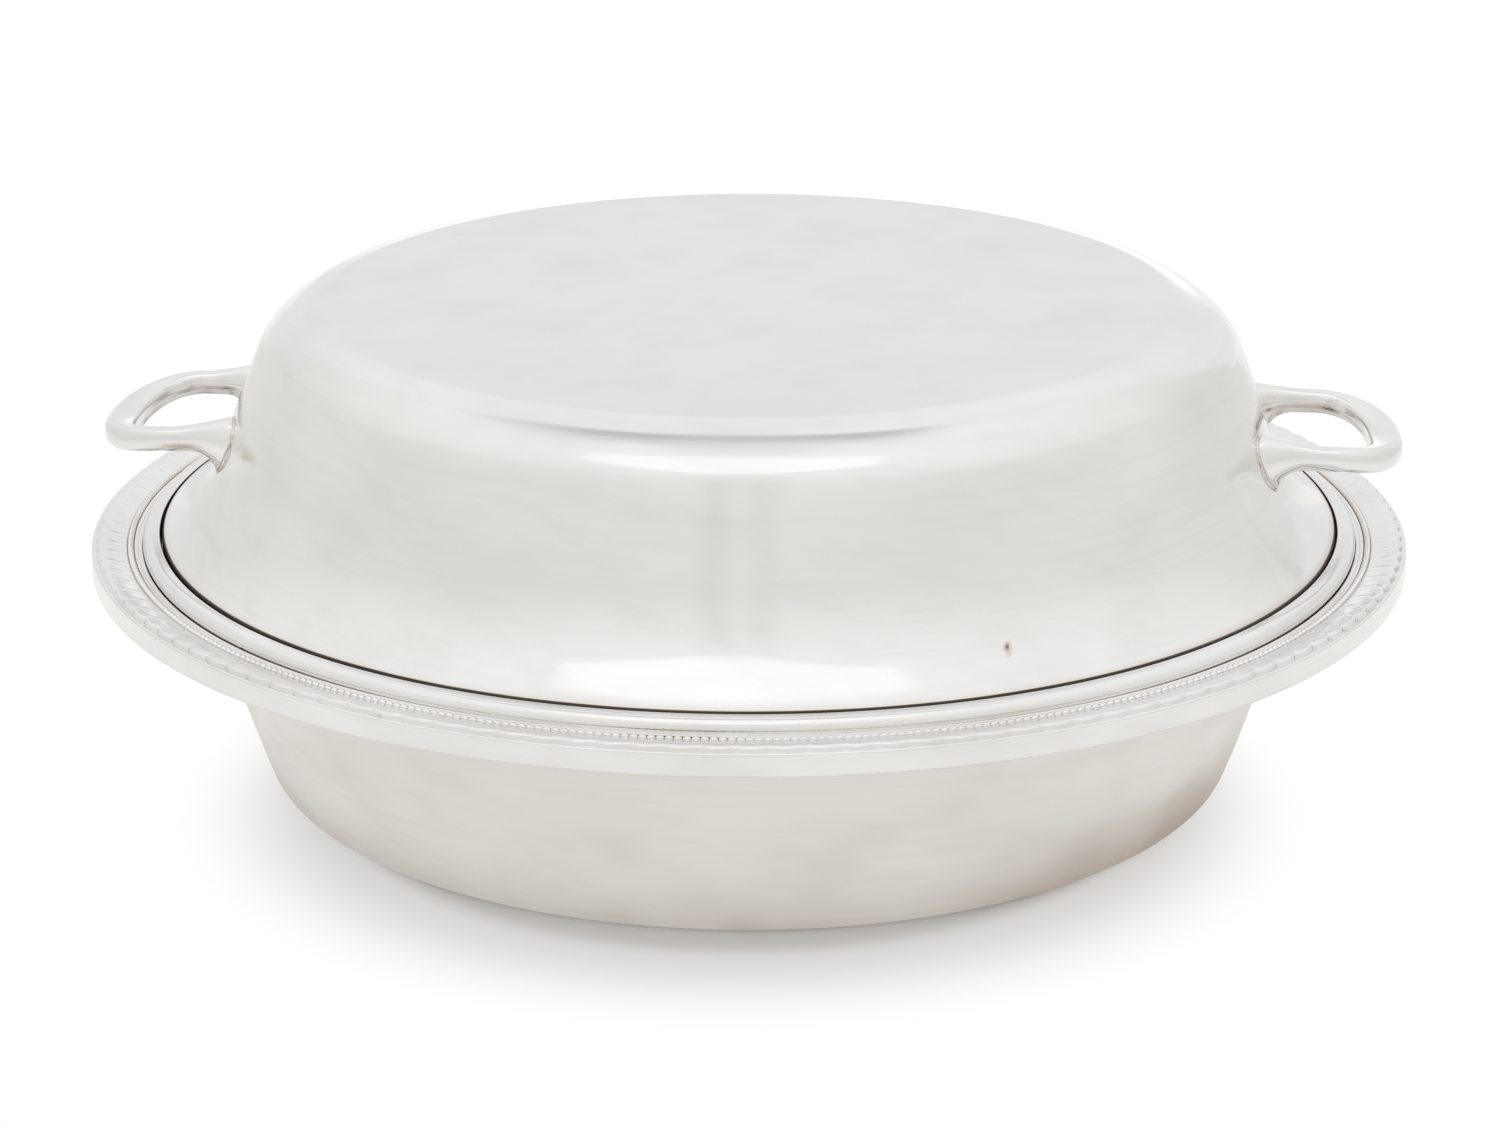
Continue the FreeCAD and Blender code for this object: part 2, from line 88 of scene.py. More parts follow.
def smooth_step(values: Grid, low: float, high: float) -> Grid:
    """Rise from 0 at low to 1 at high along 3t squared minus 2t cubed; it falls if low is the larger."""
    t = np.clip((values - low) / (high - low), 0.0, 1.0)
    return t * t * (3.0 - 2.0 * t)


def hump(values: Grid, middle: float, width: float) -> Grid:
    """Bell curve, e to the power of minus the square of the distance in widths."""
    return np.exp(-(((values - middle) / width) ** 2))


def signed_power(values: Grid, power: Grid | float) -> Grid:
    """Power of the size of each value, with its sign kept."""
    return np.sign(values) * np.abs(values) ** power


def unit(vectors: Grid) -> Grid:
    """Vectors of length 1 in the same directions, one for each row."""
    return vectors / np.linalg.norm(vectors, axis=1, keepdims=True)


def full_turn(count: int) -> Grid:
    """Angles of a full turn in equal steps."""
    return np.linspace(0.0, FULL_TURN, count, endpoint=False)


def round_axis(radius: Grid, angle: Grid, height: Grid) -> Grid:
    """Places at a radius, an angle round the axis and a height, with the three coordinates last."""
    east = radius * np.cos(angle)
    return np.stack((east, radius * np.sin(angle), np.broadcast_to(height, east.shape)), axis=-1)


@dataclass(frozen=True)
class Spot:
    """Stretch round the axis where something is stronger: its middle and half its width, in degrees."""

    middle: float
    width: float

    def share(self, angle: Grid) -> Grid:
        """Bell curve over the angle in radians, which knows where a turn closes."""
        away = (np.degrees(angle) - self.middle + 180.0) % 360.0 - 180.0
        return np.exp(-((away / self.width) ** 2))


@dataclass
class Profile:
    """Line in the half plane of radius and height, drawn step by step.

    Attributes:
        points: Corners so far, one row of radius and height each.
        arc_step: Largest turn between two points of an arc, in degrees.
        hold: Distance of the close points from the two ends of a long line.
        long_line: Length above which a line is long.
    """

    points: list[tuple[float, float]]
    arc_step: float = 4.0
    hold: float = 0.2
    long_line: float = 1.5

    def line(self, radius: float, height: float, pieces: int = 1) -> None:
        """Straight step to a corner, with close points at both ends of a long one to hold the shading.

        Args:
            radius: Distance of the corner from the axis.
            height: Height of the corner.
            pieces: Number of equal pieces of the step.
        """
        start = np.array(self.points[-1])
        end = np.array((radius, height))
        shares = set(np.linspace(0.0, 1.0, pieces + 1)[1:])
        reach = float(np.linalg.norm(end - start))
        if reach > self.long_line:
            shares |= {self.hold / reach, 1.0 - self.hold / reach}
        for share in sorted(shares):
            self.points.append(tuple(start + (end - start) * share))

    def arc(self, radius: float, height: float, bend: float, way: Way) -> None:
        """Arc of a circle to a corner, under half a turn.

        Args:
            radius: Distance of the corner from the axis.
            height: Height of the corner.
            bend: Radius of the arc.
            way: Side to which the arc turns.
        """
        start = np.array(self.points[-1])
        end = np.array((radius, height))
        chord = end - start
        half = float(np.linalg.norm(chord)) / 2.0
        side = np.array((-chord[1], chord[0])) / (2.0 * half) * way.value
        centre = start + chord / 2.0 + side * math.sqrt(max(bend**2 - half**2, 0.0))
        first = math.atan2(start[1] - centre[1], start[0] - centre[0])
        sweep = 2.0 * math.asin(min(half / bend, 1.0)) * way.value
        steps = max(2, math.ceil(math.degrees(abs(sweep)) / self.arc_step))
        for angle in first + sweep * np.arange(1, steps + 1) / steps:
            self.points.append((centre[0] + bend * math.cos(angle), centre[1] + bend * math.sin(angle)))
        self.points[-1] = (radius, height)

    def slopes(self, table: tuple[tuple[float, float], ...], count: int) -> None:
        """Curve whose slope follows a table: each step goes out by the cosine and down by the sine.

        Args:
            table: Pairs of length along the curve and slope in degrees.
            count: Number of steps.
        """
        lengths, angles = np.array(table).T
        along = np.linspace(0.0, lengths[-1], count + 1)
        fine = np.interp(along, lengths, angles)
        padded = np.pad(fine, 2, mode="edge")
        soft = np.radians(sum(padded[k:k + len(fine)] for k in range(5)) / 5.0)
        middle = (soft[1:] + soft[:-1]) / 2.0
        step = lengths[-1] / count
        outward = self.points[-1][0] + np.cumsum(np.cos(middle)) * step
        upward = self.points[-1][1] - np.cumsum(np.sin(middle)) * step
        self.points.extend(zip(outward.tolist(), upward.tolist()))

    def array(self) -> Grid:
        """Points as an array of radius and height."""
        return np.array(self.points)


@dataclass
class PieceMesh:
    """Vertices, faces, patina and painted shade of one piece while it is put together.

    Attributes:
        name: Name of the Blender object.
        vertices: Blocks of places in millimetres.
        tarnish_and_shade: Blocks of patina and painted shade, one value from 0 to 1 for each vertex.
        quads: Blocks of four-cornered faces.
        triangles: Blocks of three-cornered faces.
        count: Vertices so far.
    """

    name: str
    vertices: list[Grid] = field(default_factory=list)
    tarnish_and_shade: list[Grid] = field(default_factory=list)
    quads: list[Grid] = field(default_factory=list)
    triangles: list[Grid] = field(default_factory=list)
    count: int = 0

    def add_points(self, places: Grid, tarnish_and_shade: Grid) -> Grid:
        """Add a block of points.

        Args:
            places: Places, with the three coordinates last.
            tarnish_and_shade: Patina and painted shade of each point.

        Returns:
            Vertex numbers in the shape of the block.
        """
        shape = places.shape[:-1]
        number = int(np.prod(shape))
        self.vertices.append(places.reshape(-1, 3))
        self.tarnish_and_shade.append(np.broadcast_to(tarnish_and_shade, shape).reshape(-1))
        numbers = np.arange(self.count, self.count + number).reshape(shape)
        self.count += number
        return numbers

    def join_grid(self, numbers: Grid, wrap_rows: bool, wrap_columns: bool) -> None:
        """Cover a grid of vertices with faces.

        Args:
            numbers: Vertex numbers in rows and columns.
            wrap_rows: True where the last row meets the first.
            wrap_columns: True where the last column meets the first.
        """
        if wrap_rows:
            numbers = np.concatenate([numbers, numbers[:1]], axis=0)
        if wrap_columns:
            numbers = np.concatenate([numbers, numbers[:, :1]], axis=1)
        corners = (numbers[:-1, :-1], numbers[1:, :-1], numbers[1:, 1:], numbers[:-1, 1:])
        self.quads.append(np.stack(corners, axis=-1).reshape(-1, 4))

    def close_ring(self, ring: Grid, centre: Grid, tarnish_and_shade: float, flip: bool) -> None:
        """Close a ring of vertices with a fan of triangles.

        Args:
            ring: Vertex numbers round the ring.
            centre: Place of the middle of the fan.
            tarnish_and_shade: Patina and painted shade of that point.
            flip: True where the fan runs against the ring.
        """
        middle = self.add_points(centre.reshape(1, 3), np.array([tarnish_and_shade]))[0]
        following = np.roll(ring, -1)
        pair = (following, ring) if flip else (ring, following)
        middles = np.full_like(ring, middle)
        self.triangles.append(np.stack((middles, *pair), axis=-1))

    def build(
        self, body: Body, slot: Slot, finish: "SilverFinish", replaced: tuple[str, ...],
        sharp: float = SHEET_CREASE,
    ) -> None:
        """Make the Blender object, give it its place in the frame and its only material.

        Args:
            body: Body that the piece rides on.
            slot: Material slot that its finish comes from; not used.
            finish: Finish of the piece.
            replaced: Nodes of the frame that the piece stands for.
            sharp: Angle between faces above which an edge is sharp, in degrees.
        """
        places = np.concatenate(self.vertices)
        faces = [np.concatenate(block) for block in (self.quads, self.triangles) if block]
        volume = sum(
            np.einsum("ij,ij->", places[f[:, 0]], np.cross(places[f[:, i]], places[f[:, i + 1]]))
            for f in faces for i in range(1, f.shape[1] - 1)
        )
        if volume < 0.0:
            faces = [f[:, ::-1] for f in faces]
        loops = np.concatenate([f.reshape(-1) for f in faces])
        lengths = np.concatenate([np.full(len(f), f.shape[1]) for f in faces])
        mesh = bpy.data.meshes.new(self.name)
        mesh.vertices.add(len(places))
        mesh.vertices.foreach_set("co", (places * MM).astype(np.float32).reshape(-1))
        mesh.loops.add(len(loops))
        mesh.loops.foreach_set("vertex_index", loops.astype(np.int32))
        mesh.polygons.add(len(lengths))
        mesh.polygons.foreach_set("loop_start", (np.cumsum(lengths) - lengths).astype(np.int32))
        mesh.update(calc_edges=True)
        mesh.validate()
        values = mesh.attributes.new(TARNISH_AND_SHADE, "FLOAT", "POINT")
        values.data.foreach_set("value", np.concatenate(self.tarnish_and_shade).astype(np.float32))
        mesh.shade_smooth()
        mesh.set_sharp_from_angle(angle=math.radians(sharp))
        piece = bpy.data.objects.new(self.name, mesh)
        bpy.context.scene.collection.objects.link(piece)
        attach(piece, body.value)
        if replaced:
            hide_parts(*replaced)
        mesh.materials.append(finish.make())
        triangles = int((lengths - 2).sum())
        log.info("%s: %d triangles on body %s", self.name, triangles, body.value)


def closed_grid(name: str, places: Grid, tarnish_and_shade: Grid) -> PieceMesh:
    """Mesh of a grid of places in which the last row meets the first and the last column the first.

    Args:
        name: Name of the piece.
        places: Places in rows and columns, with the three coordinates last.
        tarnish_and_shade: Patina and painted shade of each place.

    Returns:
        The mesh.
    """
    mesh = PieceMesh(name)
    mesh.join_grid(mesh.add_points(places, tarnish_and_shade), True, True)
    return mesh


def turned(name: str, outline: Grid, around: int, warp: Warp, tarnish_and_shade: Field) -> PieceMesh:
    """Surface of revolution with small departures from the circle.

    A point of the outline at radius r and height z goes to (r + dr) times the cosine and sine of the
    angle round the axis and to z + dz, where dr and dz come from the warp.

    Args:
        name: Name of the piece.
        outline: Closed outline of radius and height. Where it starts on the axis it ends there too.
        around: Number of steps round the axis.
        warp: Gives dr and dz from angle, radius and height.
        tarnish_and_shade: Gives the patina and painted shade from angle, radius and height.

    Returns:
        The mesh of the piece, closed.
    """
    mesh = PieceMesh(name)
    on_axis = outline[0, 0] == 0.0
    if np.allclose(outline[0], outline[-1]):
        outline = outline[:-1]
    inner = outline[1:-1] if on_axis else outline
    angles = full_turn(around)[:, None]
    radius, height = inner[None, :, 0], inner[None, :, 1]
    angle_grid = np.broadcast_to(angles, (around, len(inner)))
    dr, dz = warp(angle_grid, radius, height)
    places = round_axis(radius + dr, angles, height + dz)
    numbers = mesh.add_points(places, tarnish_and_shade(angle_grid, radius, height))
    mesh.join_grid(numbers, True, not on_axis)
    if on_axis:
        for column, end, flip in ((0, outline[0], False), (-1, outline[-1], True)):
            centre = np.array((0.0, 0.0, end[1] + float(places[:, column, 2].mean() - inner[column, 1])))
            mesh.close_ring(numbers[:, column], centre, 0.1, flip)
    return mesh


def slow_wave(angle: Grid, seed: float) -> Grid:
    """Sum of three slow sines round the axis, from about minus 1 to 1, shifted by the seed.

    Args:
        angle: Angle round the axis, in radians.
        seed: Shift of the waves.

    Returns:
        The sum.
    """
    first = np.sin(2.0 * angle + seed)
    second = np.sin(3.0 * angle + 2.3 * seed)
    third = np.sin(5.0 * angle + 4.1 * seed)
    return (first + 0.7 * second + 0.5 * third) / 2.2


def patches(angle: Grid, seed: float) -> Grid:
    """Uneven deposit round the axis, from 0 to 1, as a product of quicker sines.

    Args:
        angle: Angle round the axis, in radians.
        seed: Shift of the waves.

    Returns:
        The strength of the deposit.
    """
    slow = 0.5 + 0.5 * np.sin(4.0 * angle + seed) * np.sin(7.0 * angle + 1.7 * seed)
    quick = 0.5 + 0.5 * np.sin(23.0 * angle + seed) * np.sin(31.0 * angle + 0.6 * seed)
    return np.clip(0.65 * slow + 0.35 * quick, 0.0, 1.0)


def sum_method(operation: str, swapped: bool = False) -> Callable[["Wire", "Wire | float"], "Wire"]:
    """Method of a wire that adds a math node on it and another value.

    Args:
        operation: Operation of the node.
        swapped: True where the other value comes first.

    Returns:
        The method.
    """

    def method(wire: "Wire", other: "Wire | float") -> "Wire":
        """Result of the operation."""
        pair = (other, wire) if swapped else (wire, other)
        return wire.sheet.node("ShaderNodeMath", {"operation": operation}, dict(enumerate(pair)))

    return method


class Wire:
    """One output socket of a node, with the sums that the finishes use on values."""

    __add__ = sum_method("ADD")
    __radd__ = sum_method("ADD", swapped=True)
    __sub__ = sum_method("SUBTRACT")
    __rsub__ = sum_method("SUBTRACT", swapped=True)
    __mul__ = sum_method("MULTIPLY")
    __rmul__ = sum_method("MULTIPLY", swapped=True)
    __truediv__ = sum_method("DIVIDE")
    larger = sum_method("MAXIMUM")

    def __init__(self, sheet: "NodeSheet", socket: bpy.types.NodeSocket) -> None:
        """Keep the sheet and the socket."""
        self.sheet = sheet
        self.socket = socket

    def step(self, low: float, high: float) -> "Wire":
        """Smooth rise from 0 at low to 1 at high; it falls if low is the larger.

        Args:
            low: Value that gives 0.
            high: Value that gives 1.

        Returns:
            The stepped value.
        """
        settings = {"interpolation_type": "SMOOTHSTEP"}
        start, end, left, right = (low, high, 0.0, 1.0) if low < high else (high, low, 1.0, 0.0)
        inputs = {"Value": self, "From Min": start, "From Max": end, "To Min": left, "To Max": right}
        return self.sheet.node("ShaderNodeMapRange", settings, inputs, "Result")

    def absolute(self) -> "Wire":
        """The value without its sign."""
        return self.sheet.node("ShaderNodeMath", {"operation": "ABSOLUTE"}, {0: self})

    def held(self) -> "Wire":
        """The value kept between 0 and 1."""
        return self.sheet.node("ShaderNodeClamp", {}, {"Value": self}, "Result")


class NodeSheet:
    """Node tree of one material or of the world, with short ways to add nodes."""

    def __init__(self, tree: bpy.types.NodeTree) -> None:
        """Start from an empty tree."""
        tree.nodes.clear()
        self.tree = tree

    def node(self, kind: str, settings: dict, inputs: dict, output: str | int = 0) -> Wire:
        """Add a node.

        Args:
            kind: Type of the node.
            settings: Properties that are set first.
            inputs: Values or wires of its sockets, by name or number.
            output: Name or number of the output to hand back.

        Returns:
            That output.
        """
        made = self.tree.nodes.new(kind)
        for name, value in settings.items():
            setattr(made, name, value)
        for name, value in inputs.items():
            if isinstance(value, Wire):
                self.tree.links.new(value.socket, made.inputs[name])
            else:
                made.inputs[name].default_value = value
        return Wire(self, made.outputs[output])

    def split(self, vector: Wire) -> tuple[Wire, ...]:
        """The three parts of a vector."""
        first = self.node("ShaderNodeSeparateXYZ", {}, {0: vector})
        return tuple(Wire(self, output) for output in first.socket.node.outputs)

    def mix_colour(self, share: Wire | float, first: tuple | Wire, second: tuple | Wire) -> Wire:
        """Colour between the first and the second.

        Args:
            share: Share of the second colour.
            first: Colour at share 0.
            second: Colour at share 1.

        Returns:
            The mixed colour.
        """
        colours = ((*colour, 1.0) if isinstance(colour, tuple) else colour for colour in (first, second))
        inputs = dict(zip((0, 6, 7), (share, *colours)))
        return self.node("ShaderNodeMix", {"data_type": "RGBA"}, inputs, 2)

    def show(self, shader: Wire, kind: str = "ShaderNodeOutputMaterial") -> None:
        """Link a shader to an output node of a kind."""
        target = self.tree.nodes.new(kind)
        self.tree.links.new(shader.socket, target.inputs["Surface"])


@dataclass(frozen=True)
class Noise:
    """Noise that is fixed to a piece.

    Attributes:
        scale: Waves per metre along the three axes of the turned pattern.
        turn: Turn about the three axes, in degrees.
        detail: Number of finer layers.
        roughness: Strength of each finer layer as a share of the one before.
    """

    scale: tuple[float, float, float]
    turn: tuple[float, float, float] = (0.0, 0.0, 0.0)
    detail: float = 3.0
    roughness: float = 0.55

    def on(self, sheet: NodeSheet) -> Wire:
        """Value from 0 to 1 over the surface.

        Args:
            sheet: Sheet that the nodes go on.

        Returns:
            The noise.
        """
        place = sheet.node("ShaderNodeTexCoord", {}, {}, "Object")
        angles = tuple(math.radians(angle) for angle in self.turn)
        sizes = tuple(1.0 / number for number in self.scale)
        inputs = {"Vector": place, "Rotation": angles, "Scale": sizes}
        turned_place = sheet.node("ShaderNodeMapping", {"vector_type": "TEXTURE"}, inputs)
        inputs = {"Vector": turned_place, "Scale": 1.0, "Detail": self.detail, "Roughness": self.roughness}
        return sheet.node("ShaderNodeTexNoise", {"noise_dimensions": "3D"}, inputs, "Fac")


BROAD = Noise((9.0, 9.0, 14.0), (20.0, 0.0, 30.0))
CLOUD = Noise((30.0, 30.0, 48.0), (0.0, 15.0, 60.0), 2.5, 0.5)
STREAK = Noise((14.0, 14.0, 520.0), roughness=0.6)
BLOTS = Noise((40.0, 40.0, 150.0), (4.0, 12.0, 0.0), 5.0, 0.6)
GRAIN = Noise((900.0, 900.0, 900.0))
PITS = Noise((420.0, 420.0, 420.0), (0.0, 0.0, 45.0), 2.0)
LINES_AROUND = Noise((60.0, 60.0, 1500.0), (0.0, 0.0, 0.0), 2.0, 0.7)
LINES_ACROSS = Noise((90.0, 1600.0, 300.0), (0.0, 0.0, 35.0), 2.0, 0.7)
LINES_SLANT = Noise((1500.0, 80.0, 260.0), (0.0, 0.0, -20.0), 2.0, 0.7)


@dataclass(frozen=True)
class SilverFinish:
    """Worn silver with haze, fine scratches, tarnished hollows and painted shade.

    Attributes:
        name: Name of the material.
        clean: Colour of the polished metal.
        hazy: Colour where it is dull from handling.
        warm: Colour of the thin brown film and of brown painted shade.
        deposit_and_shade: Colour of the thick dark tarnished crust in crevices and of the darkest painted
            shade.
        roughness: Roughness of the clean metal.
        haze: How much rougher and duller the hazy patches are.
        film: How far the thin film spreads outside the hollows.
        scratches: Height of the scratches, in millimetres.
        speckle: How strongly pits and specks show.
    """

    name: str
    clean: tuple[float, float, float] = (0.88, 0.878, 0.872)
    hazy: tuple[float, float, float] = (0.80, 0.785, 0.765)
    warm: tuple[float, float, float] = (0.70, 0.60, 0.53)
    deposit_and_shade: tuple[float, float, float] = (0.045, 0.033, 0.026)
    roughness: float = 0.07
    haze: float = 0.5
    film: float = 0.0
    scratches: float = 0.0035
    speckle: float = 0.0

    def make(self) -> bpy.types.Material:
        """Material of the finish.

        Two noises give haze and film, two more give blots and streaks of wear, three stretched ones give
        scratches that run in different directions, and the mesh attribute of patina and painted shade,
        broken up by noise, mixes in the brown colour and then the dark crust colour, which is rough and
        less of a metal.

        Returns:
            The material.
        """
        material = bpy.data.materials.new(self.name)
        material.use_nodes = True
        sheet = NodeSheet(material.node_tree)
        broad, cloud, streak, blots = (noise.on(sheet) for noise in (BROAD, CLOUD, STREAK, BLOTS))
        grain, pits = GRAIN.on(sheet), PITS.on(sheet)
        # Patina and painted shade of the mesh, from its attribute.
        held_tarnish_and_shade = sheet.node("ShaderNodeAttribute", {"attribute_name": TARNISH_AND_SHADE}, {}, "Fac")
        broken = (held_tarnish_and_shade * (0.72 + 0.56 * cloud) + (grain - 0.5) * 0.12 * held_tarnish_and_shade).held()
        specks = pits.step(0.70, 0.78) * (self.speckle + broken.step(0.15, 0.6)).held()
        haze = (broad * 0.6 + cloud * 0.4).step(0.40, 0.66) * self.haze
        film = (cloud * 0.5 + broad * 0.5).step(0.47, 0.68) * self.film
        brown = (broken.step(0.04, 0.5) + film).held()
        dark = (broken.step(0.42, 0.92) + specks * 0.6).held()
        colour = sheet.mix_colour(haze, self.clean, self.hazy)
        worn = (blots.step(0.44, 0.70) * 0.8 + streak.step(0.46, 0.72) * 0.45).held()
        colour = sheet.mix_colour(worn * self.haze, colour, self.hazy)
        # The brown and the dark colours paint patina and painted shade alike.
        colour = sheet.mix_colour(brown * 0.8, colour, self.warm)
        colour = sheet.mix_colour(dark, colour, self.deposit_and_shade)
        rough = self.roughness + haze * 0.14 + cloud * 0.05 + brown * 0.10 + dark * 0.35
        around, across, slant = (noise.on(sheet) for noise in (LINES_AROUND, LINES_ACROSS, LINES_SLANT))
        lines = around.step(0.5, 0.75) + across.step(0.55, 0.75) + slant.step(0.55, 0.75)
        relief = lines * -0.5 + grain * 0.25 + specks * -1.5
        bump = {"Height": relief, "Distance": self.scratches * MM, "Strength": 1.0}
        normal = sheet.node("ShaderNodeBump", {}, bump, "Normal")
        inputs = {"Base Color": colour, "Metallic": 1.0 - dark * 0.8, "Roughness": rough, "Normal": normal}
        sheet.show(sheet.node("ShaderNodeBsdfPrincipled", {}, inputs, "BSDF"))
        return material


@dataclass
class Dish:
    """Raised sheet bowl of the dish with the flat flange on which the border sits."""

    rim_radius: float = 150.0
    flange_height: float = 55.0
    sheet: float = 1.0
    base_inset: float = 44.9
    base_bend: float = 7.0
    base_lean: float = 20.0
    mouth_lean: float = 13.0
    mouth_bend: float = 2.0
    roll_width: float = 2.9
    solder_gap: float = 0.1
    steps_around: int = 600
    wall_arc_step: float = 0.35
    inner_wall_arc_step: float = 0.5
    mouth_arc_step: float = 12.0
    inner_bend_arc_step: float = 6.0
    border_inside: float = 137.5
    browner_side: Spot = Spot(325.0, 30.0)

    @property
    def flange_end(self) -> float:
        """Outside of the flange, where the edge wire starts."""
        return self.rim_radius - self.roll_width - self.solder_gap

    def face(self, inset: float) -> dict[str, tuple[float, float]]:
        """Corners of one face of the sheet.

        Args:
            inset: Distance inward from the outer face.

        Returns:
            Corners by name, each a radius and a height.
        """
        base = self.rim_radius - self.base_inset
        lean, mouth = math.radians(self.base_lean), math.radians(self.mouth_lean)
        under = self.flange_height - self.sheet
        low = self.base_bend * (1.0 - math.sin(lean))
        high = under - self.mouth_bend * (1.0 - math.sin(mouth))
        wall = (high - low) / (math.sin(lean) - math.sin(mouth))
        wall_end = base + self.base_bend * math.cos(lean) + wall * (math.cos(mouth) - math.cos(lean))
        bend = self.base_bend - inset
        return {
            "base": (base, inset),
            "bend": (base + bend * math.cos(lean), self.base_bend - bend * math.sin(lean)),
            "wall": (wall_end - inset * math.cos(mouth), high + inset * math.sin(mouth)),
            "mouth": (wall_end + self.mouth_bend * math.cos(mouth), under + inset),
            "bends": (bend, wall - inset, self.mouth_bend + inset),
        }

    def outline(self) -> Grid:
        """Closed outline of the sheet: outer face, edge of the flange, inner face.

        Returns:
            Points as rows of radius and height.
        """
        out, ins = self.face(0.0), self.face(self.sheet)
        profile = Profile([(0.0, 0.0)])
        profile.line(*out["base"], 8)
        profile.arc(*out["bend"], out["bends"][0], Way.LEFT)
        profile.arc_step = self.wall_arc_step
        profile.arc(*out["wall"], out["bends"][1], Way.LEFT)
        profile.arc_step = self.mouth_arc_step
        profile.arc(*out["mouth"], out["bends"][2], Way.RIGHT)
        profile.line(self.flange_end, self.flange_height - self.sheet, 4)
        profile.line(self.flange_end, self.flange_height)
        profile.line(*ins["mouth"], 4)
        profile.arc(*ins["wall"], ins["bends"][2], Way.LEFT)
        profile.arc_step = self.inner_wall_arc_step
        profile.arc(*ins["bend"], ins["bends"][1], Way.RIGHT)
        profile.arc_step = self.inner_bend_arc_step
        profile.arc(*ins["base"], ins["bends"][0], Way.RIGHT)
        profile.line(0.0, self.sheet, 8)
        return profile.array()

    def warp(self, angle: Grid, radius: Grid, height: Grid) -> tuple[Grid, Grid]:
        """Unevenness of hand raising: slow waves of the wall, still at the base and at the flange.

        Args:
            angle: Angle round the axis, in radians.
            radius: Distance from the axis; not used.
            height: Height over the table.

        Returns:
            How far each point moves outward and upward.
        """
        wall = smooth_step(height, 1.5, 12.0) * smooth_step(height, 54.0, 46.0)
        waves = 0.10 * slow_wave(angle, 0.8) + 0.035 * np.sin(11.0 * angle + height * 0.35)
        waves = waves + 0.02 * np.sin(17.0 * angle - height * 0.22)
        return wall * waves, np.zeros_like(wall * waves)

    def tarnish_and_shade(self, angle: Grid, radius: Grid, height: Grid) -> Grid:
        """Brown film and painted shade under the overhanging flange, darker and browner towards the
        table, painted shade at the left and right, and a little under the border.

        The band under the flange is on the outer face alone, which bulges past the chord of the wall.

        Args:
            angle: Angle round the axis, in radians.
            radius: Distance from the axis.
            height: Height over the table.

        Returns:
            Tarnish and painted shade of each point, from 0 to 1.
        """
        off_centre = radius > 60.0
        # Brown film and painted shade in a band under the overhanging flange.
        under = 0.09 * smooth_step(height, 36.0, 44.0) + 0.26 * smooth_step(height, 40.8, 44.0)
        wall_ends = np.array((self.face(0.0)["bend"], self.face(0.0)["wall"]))
        chord = np.interp(height, wall_ends[:, 1], wall_ends[:, 0])
        flange_middle = self.flange_height - self.sheet / 2.0
        on_outer_face = (radius > chord - 0.2) & (height < flange_middle)
        under = np.where(on_outer_face, under, 0.0) * (0.8 + 0.3 * patches(angle, 1.1))
        # Painted shade at the left and right sides; lower down, darker and browner towards the table.
        side = np.cos(angle) ** 2
        low = 0.12 * smooth_step(height, 13.0, 0.0) ** 1.5 + 0.11 * smooth_step(height, 24.0, 6.0)
        low = low * (0.85 + 0.3 * side) * (0.8 + 0.4 * patches(angle, 2.3)) + 0.05 * side
        low = low + 0.11 * self.browner_side.share(angle) * smooth_step(height, 32.0, 12.0)
        under_border = np.where((radius > self.border_inside) & (height > flange_middle), 0.15, 0.0)
        return np.where(off_centre, np.maximum(under + low, under_border), 0.12)

    def build(self, finish: SilverFinish) -> None:
        """Make the bowl of the dish."""
        mesh = turned("dish_bowl_raised", self.outline(), self.steps_around, self.warp, self.tarnish_and_shade)
        mesh.build(Body.DISH, Slot.RAISED, finish, ("dish_bowl",))


